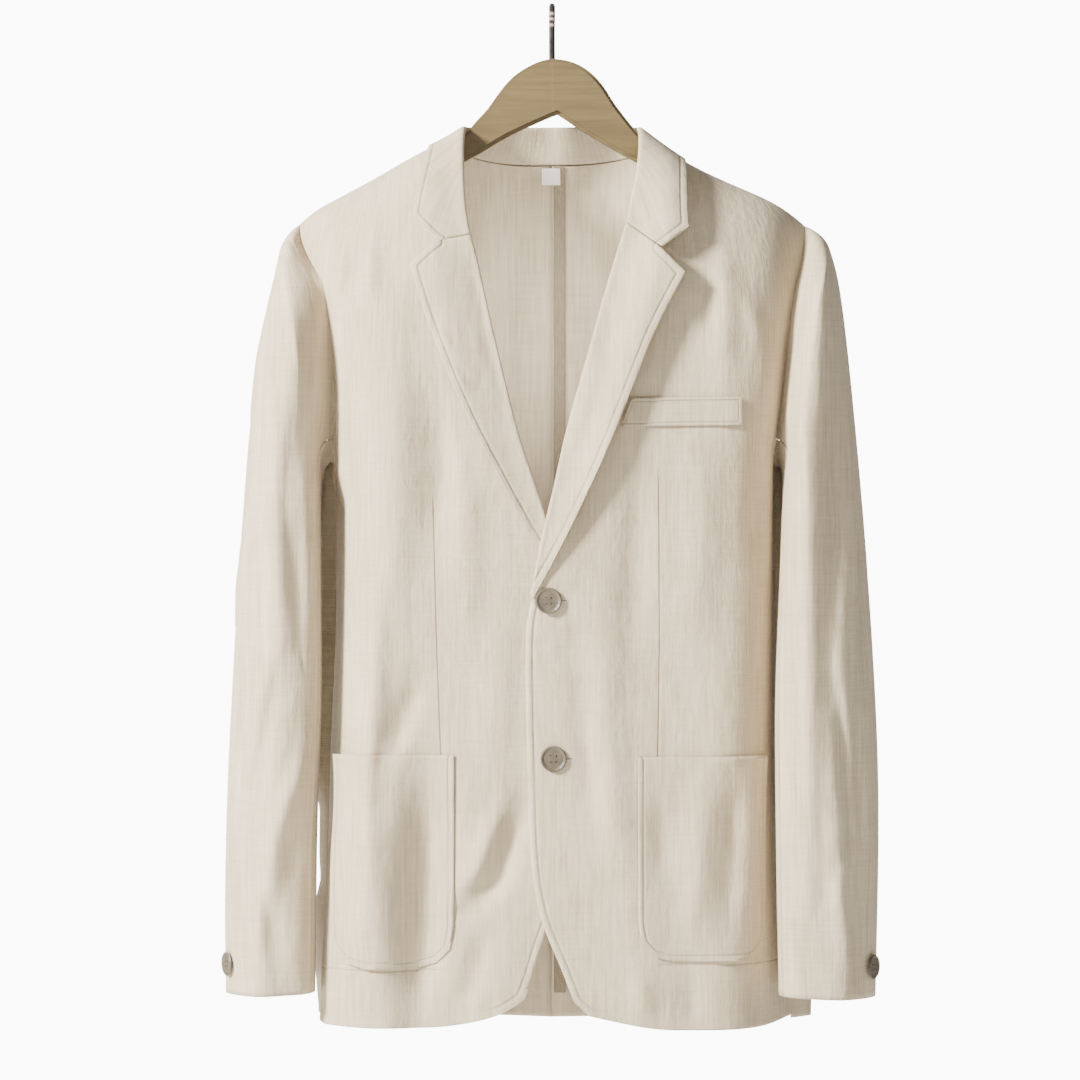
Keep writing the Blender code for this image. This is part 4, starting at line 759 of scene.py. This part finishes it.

# %% [markdown]
# ## The linen
# Plain woven flax has uneven yarn: thick and thin stretches show as short streaks along and across.
# A fine over-and-under relief, two sets of streaks and broad cloudy patches make it, all on the flat
# map, and the light catches the sunken line of the stitches. The stitched, dart and hem lines are also
# darkened in colour with painted shade.


# %% A helper for finishes
class Finish:
    """A material whose nodes are added in short calls."""

    def __init__(self, name):
        self.material = bpy.data.materials.new(name)
        self.material.use_nodes = True
        self.tree = self.material.node_tree
        self.shader = self.tree.nodes["Principled BSDF"]

    def node(self, kind, settings=(), **sockets):
        made = self.tree.nodes.new("ShaderNode" + kind)
        for key, value in dict(settings).items():
            setattr(made, key, value)
        for key, value in sockets.items():
            key = int(key[1:]) if key[0] == "_" else key.replace("_", " ")
            self.feed(made.inputs[key], value)
        return made

    def feed(self, socket, value):
        if isinstance(value, bpy.types.NodeSocket):
            self.tree.links.new(value, socket)
        else:
            socket.default_value = value

    def give(self, socket, value):
        self.feed(self.shader.inputs[socket], value)

    def sum(self, operation, *values):
        sockets = {f"_{k}": value for k, value in enumerate(values)}
        return self.node("Math", {"operation": operation}, **sockets).outputs[0]

    def mix_of(self, *parts):
        """Adds up pairs of a value and its share."""
        total = None
        for value, share in parts:
            part = value if share == 1 else self.sum("MULTIPLY", value, share)
            total = part if total is None else self.sum("ADD", total, part)
        return total

    def spread(self, value, low=0.0, high=1.0, to=(0.0, 1.0)):
        """Stretches the values between low and high over another range."""
        limits = {"From_Min": low, "From_Max": high, "To_Min": to[0], "To_Max": to[1]}
        return self.node("MapRange", Value=value, **limits).outputs[0]

    def kept(self, name):
        """A value kept on the cloth."""
        return self.node("Attribute", {"attribute_name": name}).outputs["Fac"]

    def streaks(self, place, stretch, detail=2.0):
        scaled = self.node("VectorMath", {"operation": "MULTIPLY"}, _0=place, _1=stretch).outputs[0]
        return self.node("TexNoise", Vector=scaled, Scale=1.0, Detail=detail, Roughness=0.55).outputs[0]

    def near(self, distance, width):
        """1 on a line and 0 away from it: the distance and the width are in metres."""
        part = self.sum("DIVIDE", distance, width)
        return self.sum("POWER", 2.718, self.sum("MULTIPLY", self.sum("MULTIPLY", part, part), -1.0))

    def blend(self, share, one, other):
        mixed = self.node("Mix", {"data_type": "RGBA"})
        self.feed(mixed.inputs[0], share)
        self.feed(mixed.inputs[6], one)
        self.feed(mixed.inputs[7], other)
        return mixed.outputs[2]

    def relief(self, height, distance, strength=1.0, over=None):
        bump = self.node("Bump", Strength=strength, Distance=distance, Height=height)
        if over is not None:
            self.feed(bump.inputs["Normal"], over)
        return bump.outputs[0]


# %% Linen
YARN = 0.0011  # metres between threads


def linen(name, pale, deep, shift=0.0):
    cloth = Finish(name)
    flat = cloth.node("UVMap", {"uv_map": "cloth"}).outputs[0]
    moved = (shift, shift * 0.7, shift)
    flat = cloth.node("VectorMath", {"operation": "ADD"}, _0=flat, _1=moved).outputs[0]
    axis = cloth.node("SeparateXYZ", _0=flat)
    across, along = axis.outputs[0], axis.outputs[1]
    turns = math.pi / YARN
    over_under = cloth.sum(
        "MULTIPLY",
        cloth.sum("SINE", cloth.sum("MULTIPLY", across, turns)),
        cloth.sum("SINE", cloth.sum("MULTIPLY", along, turns)),
    )
    warp = cloth.streaks(flat, (760, 26, 1))
    weft = cloth.streaks(flat, (22, 820, 1))
    slub = cloth.streaks(flat, (330, 12, 1), 3.0)
    cloudy = cloth.streaks(flat, (26, 11, 1), 3.0)
    rumple = cloth.streaks(flat, (105, 58, 1), 3.0)
    tone = cloth.mix_of((warp, 0.40), (weft, 0.28), (slub, 0.34), (cloudy, 0.30), (over_under, 0.05))
    colour = cloth.blend(cloth.spread(tone, 0.52, 0.80), (*deep, 1), (*pale, 1))
    edge, dart, hem = (cloth.kept(key) for key in ("from_edge", "from_dart", "from_hem_line"))
    shares = (cloth.kept(key) for key in ("edge_share", "dart_share", "hem_share"))
    edge_share, dart_share, hem_share = shares
    stitch_line = cloth.near(cloth.sum("SUBTRACT", edge, DRAWN_IN), 0.0011)
    stitch_line = cloth.sum("MULTIPLY", stitch_line, edge_share)
    edge_roll = cloth.near(cloth.sum("SUBTRACT", edge, DRAWN_IN / 2), 0.0022)
    edge_roll = cloth.sum("MULTIPLY", edge_roll, edge_share)
    dart_line = cloth.sum("MULTIPLY", cloth.near(dart, 0.0007), dart_share)
    hem_line = cloth.sum("MULTIPLY", cloth.near(hem, 0.001), hem_share)
    sunk = cloth.mix_of((stitch_line, 1), (dart_line, 0.9), (hem_line, 0.9))
    # painted shade: the stitched lines, the darts and the hem line are darkened where their grooves lie
    painted_seam_shade = (deep[0] * 0.55, deep[1] * 0.52, deep[2] * 0.48, 1)
    painted_dart_shade = (deep[0] * 0.5, deep[1] * 0.47, deep[2] * 0.43, 1)
    colour = cloth.blend(cloth.sum("MULTIPLY", sunk, 0.24), colour, painted_seam_shade)
    cloth.give("Base Color", cloth.blend(cloth.sum("MULTIPLY", dart_line, 0.45), colour, painted_dart_shade))
    cloth.give("Roughness", cloth.spread(warp, to=(0.78, 0.95)))
    cloth.give("Specular IOR Level", 0.25)
    cloth.give("Sheen Weight", 0.12)
    cloth.give("Sheen Roughness", 0.5)
    # relief from the yarns, then from soft rumples, then from the lines that the thread pulls in
    fine = cloth.relief(cloth.mix_of((over_under, 0.35), (warp, 1), (weft, 1)), 0.00014)
    soft = cloth.relief(cloth.mix_of((rumple, 1), (slub, 0.2)), 0.0020, 0.55, fine)
    pulled = cloth.sum("SUBTRACT", cloth.sum("MULTIPLY", edge_roll, 0.3), sunk)
    cloth.give("Normal", cloth.relief(pulled, 0.0007, 0.9, soft))
    return cloth.material


LINEN_PALE, LINEN_DEEP = (0.562, 0.472, 0.332), (0.403, 0.32, 0.205)
linen_cloth = linen("light_linen", LINEN_PALE, LINEN_DEEP)
linen_sleeves = linen("light_linen_sleeves", LINEN_PALE, LINEN_DEEP, 3.3)
for name, piece in CLOTH.items():
    piece.data.materials.append(linen_sleeves if "sleeve" in name else linen_cloth)
print("linen on", len(CLOTH), "pieces, a thread every", YARN / MM, "mm")

# %% [markdown]
# ## Rows of stitches
# One stitch is a short thread, thickest in its middle, that dips into the cloth at both ends. It is
# modelled once, and its copies are set along each sewn line and pressed onto the finished cloth.


# %% One stitch, and the rows
def one_stitch(length, thick):
    bpy.ops.object.select_all(action="DESELECT")
    lying = (0, math.radians(90), 0)
    bpy.ops.mesh.primitive_cylinder_add(vertices=5, radius=thick / 2, depth=length, rotation=lying)
    stitch = bpy.context.object
    bpy.ops.object.transform_apply(location=True, rotation=True, scale=True)
    bpy.ops.object.mode_set(mode="EDIT")
    bpy.ops.mesh.select_all(action="SELECT")
    bpy.ops.mesh.bisect(plane_co=(0, 0, 0), plane_no=(1, 0, 0))
    bpy.ops.object.mode_set(mode="OBJECT")
    points = points_of(stitch)
    ends = np.abs(points[:, 0]) > length * 0.3
    points[ends, 1:] *= 0.55
    points[ends, 2] -= thick * 0.55
    faces = [tuple(p.vertices) for p in stitch.data.polygons]
    bpy.data.objects.remove(stitch)
    return points, faces


def evenly(line, pitch):
    gaps = np.linalg.norm(np.diff(line, axis=0), axis=1)
    run = np.concatenate(([0], np.cumsum(gaps)))
    count = max(2, int(run[-1] / pitch))
    stops = (np.arange(count) + 0.5) * run[-1] / count
    return np.stack([np.interp(stops, run, line[:, k]) for k in range(3)], axis=1)


def sew(piece_name, cloth_piece, lines, sizes, material, lift=0.00005):
    pitch, length, thick = sizes
    points, faces = one_stitch(length, thick)
    graph = bpy.context.evaluated_depsgraph_get()
    ground = BVHTree.FromObject(cloth_piece, graph)
    all_points, all_faces = [], []
    for line in lines:
        stops = evenly(line, pitch)
        for k, stop in enumerate(stops):
            there = stops[min(k + 1, len(stops) - 1)] - stops[max(k - 1, 0)]
            hit, normal, _, _ = ground.find_nearest(Vector(stop))
            if hit is None:
                continue
            up = np.array(normal)
            ahead = there - up * (there @ up)
            ahead /= max(np.linalg.norm(ahead), 1e-9)
            across = np.cross(up, ahead)
            base = np.array(hit) + up * lift
            placed = base + points[:, :1] * ahead + points[:, 1:2] * across + points[:, 2:] * up
            start = sum(len(p) for p in all_points)
            all_points.append(placed)
            all_faces += [tuple(v + start for v in face) for face in faces]
    mesh = bpy.data.meshes.new(piece_name)
    mesh.from_pydata(np.concatenate(all_points).tolist(), [], all_faces)
    row = bpy.data.objects.new(piece_name, mesh)
    bpy.context.scene.collection.objects.link(row)
    mesh.shade_smooth()
    mesh.materials.append(material)
    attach(row, "root")
    print(piece_name, len(all_points), "stitches")
    return row


def thread(name, colour):
    spun = Finish(name)
    place = spun.node("TexCoord").outputs["Object"]
    twist = spun.streaks(place, (3000, 3000, 3000))
    shaded = [part * 0.85 for part in colour]
    spun.give("Base Color", spun.blend(twist, (*shaded, 1), (*colour, 1)))
    spun.give("Roughness", 0.7)
    return spun.material


# from one stitch to the next, its length and its thickness, in metres
EDGE_STITCH = (0.0032, 0.0024, 0.00042)
HOLE_STITCH = (0.00055, 0.0007, 0.0009)
SLIT_STITCH = (0.0016, 0.0026, 0.0011)
BUTTON_STITCH = (0.0022, 0.0044, 0.0007)

sewing_thread = thread("sewing_thread", (0.66, 0.585, 0.49))
for name, runs in SEWN.items():
    if runs:
        sew(f"stitches_{name}", CLOTH[name], runs, EDGE_STITCH, sewing_thread)

# %% [markdown]
# ## Buttons, label and binding
# The buttons are pressed from a brown horn-like resin, cloudy and a little shiny. The label is a bare
# white tab, and the seam allowance down the back is bound in a narrow tape.


# %% Button resin
resin = Finish("button_resin")
place = resin.node("TexCoord").outputs["Object"]
cloud = resin.streaks(place, (130, 130, 60), 4.0)
veins = resin.streaks(place, (420, 420, 420), 3.0)
horn = resin.spread(resin.mix_of((cloud, 0.7), (veins, 0.3)), 0.35, 0.65)
resin.give("Base Color", resin.blend(horn, (0.058, 0.046, 0.027, 1), (0.118, 0.094, 0.06, 1)))
resin.give("Roughness", resin.spread(veins, to=(0.36, 0.55)))
resin.give("Normal", resin.relief(veins, 0.00008))


def smooth_solid(name, material, degrees=32):
    node = nodes[name]
    select_only(node)
    bpy.ops.object.shade_smooth_by_angle(angle=math.radians(degrees))
    node.data.materials.clear()
    node.data.materials.append(material)


for name in ("button_upper", "button_lower", "cuff_button_left", "cuff_button_right"):
    smooth_solid(name, resin.material)

# %% Buttonholes and button threads
# a buttonhole is a slit with close stitches over both edges; two threads show on each button.
# The slit is a row of near-black stitches, painted shade in the opening; on the buttons the same
# dark finish is the threads' own colour.
HOLE_FROM, HOLE_TO, HOLE_EDGE = -4.0 * MM, 16.5 * MM, 0.9 * MM  # from the button's middle
BAR_HALF, SLIT_SHORT = 1.6 * MM, 0.5 * MM  # the bar at a hole's end, and how far the slit ends before it
THREAD_HALF, THREAD_ROWS = 2.2 * MM, (-2.0 * MM, 2.0 * MM)


def line_across(start, end, height_start, height_end, depth):
    return np.array([[start, depth, height_start], [end, depth, height_end]])


# dark thread: painted shade in the buttonhole slits, and the button threads' own colour
slit_shade_and_dark_thread = thread("buttonhole_shade_and_dark_thread", (0.13, 0.10, 0.07))
hole_edges, hole_slits, holding = [], [], {}
for name in ("button_upper", "button_lower"):
    corners = np.array([nodes[name].matrix_world @ Vector(c) for c in nodes[name].bound_box])
    low, high = corners.min(0), corners.max(0)
    mid_x, mid_z, face_y = (low[0] + high[0]) / 2, (low[2] + high[2]) / 2, low[1]
    start, end = mid_x + HOLE_FROM, mid_x + HOLE_TO
    for up in (-HOLE_EDGE, HOLE_EDGE):
        hole_edges.append(line_across(start, end, mid_z + up, mid_z + up, face_y))
    hole_edges.append(line_across(end, end, mid_z - BAR_HALF, mid_z + BAR_HALF, face_y))
    hole_slits.append(line_across(start, end - SLIT_SHORT, mid_z, mid_z, face_y))
    holding[name] = [
        line_across(mid_x - THREAD_HALF, mid_x + THREAD_HALF, mid_z + up, mid_z + up, face_y - MM)
        for up in THREAD_ROWS
    ]
FASTENED = [  # what is sewn through the left front
    sew("buttonhole_edges", CLOTH["front_left"], hole_edges, HOLE_STITCH, sewing_thread),
    sew("buttonhole_slits", CLOTH["front_left"], hole_slits, SLIT_STITCH, slit_shade_and_dark_thread),
]
for name, lines in holding.items():
    FASTENED.append(sew(f"threads_{name}", nodes[name], lines, BUTTON_STITCH, slit_shade_and_dark_thread, 0.0002))

# %% Label and binding
tab = Finish("label_tab")
place = tab.node("TexCoord").outputs["Object"]
weave = tab.streaks(place, (2200, 60, 300))
tab.give("Base Color", tab.blend(weave, (0.72, 0.66, 0.55, 1), (0.82, 0.77, 0.67, 1)))
tab.give("Roughness", 0.6)
tab.give("Normal", tab.relief(weave, 0.0001))
smooth_solid("neck_label", tab.material)

TAPE_TWILL = 0.0026  # metres from one slanted rib to the next
TAPE_SEAMS = ((0.0024, 0.0007), (0.0119, 0.0008))  # each sewn line: metres from the middle, and width
tape = Finish("binding_tape")
place = tape.node("TexCoord").outputs["Object"]
axis = tape.node("SeparateXYZ", _0=place)
slanted = tape.sum("ADD", axis.outputs[0], axis.outputs[2])
slant = tape.sum("SINE", tape.sum("MULTIPLY", slanted, 2 * math.pi / TAPE_TWILL))
yarns = tape.streaks(place, (900, 900, 120))
ends = [tape.near(tape.sum("SUBTRACT", axis.outputs[0], middle), width) for middle, width in TAPE_SEAMS]
ends = tape.sum("MINIMUM", tape.sum("ADD", *ends), 1.0)
woven = tape.spread(tape.mix_of((yarns, 1), (slant, 0.12)), 0.3, 0.7)
body = tape.blend(woven, (0.21, 0.16, 0.095, 1), (0.30, 0.235, 0.15, 1))
tape.give("Base Color", tape.blend(ends, body, (0.20, 0.16, 0.11, 1)))
tape.give("Roughness", 0.85)
tape.give("Normal", tape.relief(slant, 0.0002))
smooth_solid("back_seam_binding", tape.material)
print("buttons, label and binding finished")

# %% [markdown]
# ## Hanger and hook
# The hanger is cut flat from a warm brown board, with softly rounded edges. Long uneven grain runs
# along it, and a thin line shows where its halves are glued. The hook is dark wire with two bright
# rings close to the wood.

# %% Wood
wood = Finish("hanger_wood")
place = wood.node("TexCoord").outputs["Object"]
grain = wood.streaks(place, (14, 60, 230), 5.0)
pores = wood.streaks(place, (60, 700, 1400), 2.0)
patch = wood.streaks(place, (10, 10, 10), 2.0)
axis = wood.node("SeparateXYZ", _0=place)
joint = wood.sum("MULTIPLY", wood.near(wood.sum("ADD", axis.outputs[0], -0.0003), 0.0006), 0.6)
tone = wood.spread(wood.mix_of((grain, 0.6), (pores, 0.2), (patch, 0.3)), 0.35, 0.75)
board = wood.blend(tone, (0.070, 0.045, 0.012, 1), (0.132, 0.090, 0.029, 1))
wood.give("Base Color", wood.blend(joint, board, (0.13, 0.085, 0.045, 1)))
wood.give("Roughness", wood.spread(grain, to=(0.42, 0.62)))
wood.give("Normal", wood.relief(wood.mix_of((grain, 1), (pores, -0.4)), 0.0003, 0.6))
HANGER = {}
for name in ("hanger_left", "hanger_right"):
    half = HANGER[name] = finer_wall(name, f"wooden_{name}", 2, 30)
    points = points_of(half)
    points[np.abs(points[:, 0]) < 0.0004, 0] = 0  # the halves are glued together in the middle
    set_points(half, points)
    half.data.materials.append(wood.material)
    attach(half, "root")
    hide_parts(name)
print("wood on", len(HANGER), "halves of the hanger")

# %% Wire
RINGS, RING_WIDTH = (0.0062, 0.0112), 0.0012  # how far down each bright ring lies, in metres
wire = Finish("hook_wire")
place = wire.node("TexCoord").outputs["Object"]
axis = wire.node("SeparateXYZ", _0=place)
wear = wire.streaks(place, (300, 300, 300), 4.0)
rings = [wire.near(wire.sum("ADD", axis.outputs[2], down), RING_WIDTH) for down in RINGS]
rings = wire.sum("MULTIPLY", wire.sum("MINIMUM", wire.sum("ADD", *rings), 1.0), 0.8)
dark = wire.blend(wear, (0.010, 0.009, 0.008, 1), (0.022, 0.020, 0.019, 1))
wire.give("Base Color", wire.blend(rings, dark, (0.52, 0.40, 0.36, 1)))
wire.give("Specular IOR Level", 0.25)
wire.give("Roughness", wire.spread(wear, to=(0.45, 0.6)))
smooth_solid("hanger_hook", wire.material, 40)
print("dark wire on the hook, with", len(RINGS), "bright rings")

# %% [markdown]
# ## Cut sizes
# For each sheet of cloth, the area of its cut (the part which shows) is printed beside the area
# measured on its wall; every piece moves with the one body of the blazer.

# %% Cut sizes
CUT = {
    # width and length in metres, and the share of that rectangle which the cut fills
    "front": (0.27, 0.76, 0.82),
    "back": (0.25, 0.77, 0.92),
    "top_sleeve": (0.19, 0.65, 0.92),
    "under_sleeve": (0.125, 0.6, 0.92),
    "lapel": (0.075, 0.335, 0.55),
    "pocket": (0.125, 0.18, 0.97),
    "collar": (0.48, 0.085, 0.85),
    "breast": (0.105, 0.025, 1.0),
}


def face_area(piece):
    areas = np.empty(len(piece.data.polygons), np.float32)
    piece.data.polygons.foreach_get("area", areas)
    return float(areas.sum()) / 2


for name, piece in CLOTH.items():
    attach(piece, "root")
    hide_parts(name)
    kind = name.rsplit("_", 1)[0]
    width, length, share = CUT[kind]
    print(f"{piece.name}: measured {face_area(piece):.4f} m2, cut {share * width * length:.4f} m2")

# %% Sizes
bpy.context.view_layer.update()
meshes = [piece.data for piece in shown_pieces() if piece.type == "MESH"]
print("triangles:", sum(len(face.vertices) - 2 for mesh in meshes for face in mesh.polygons))
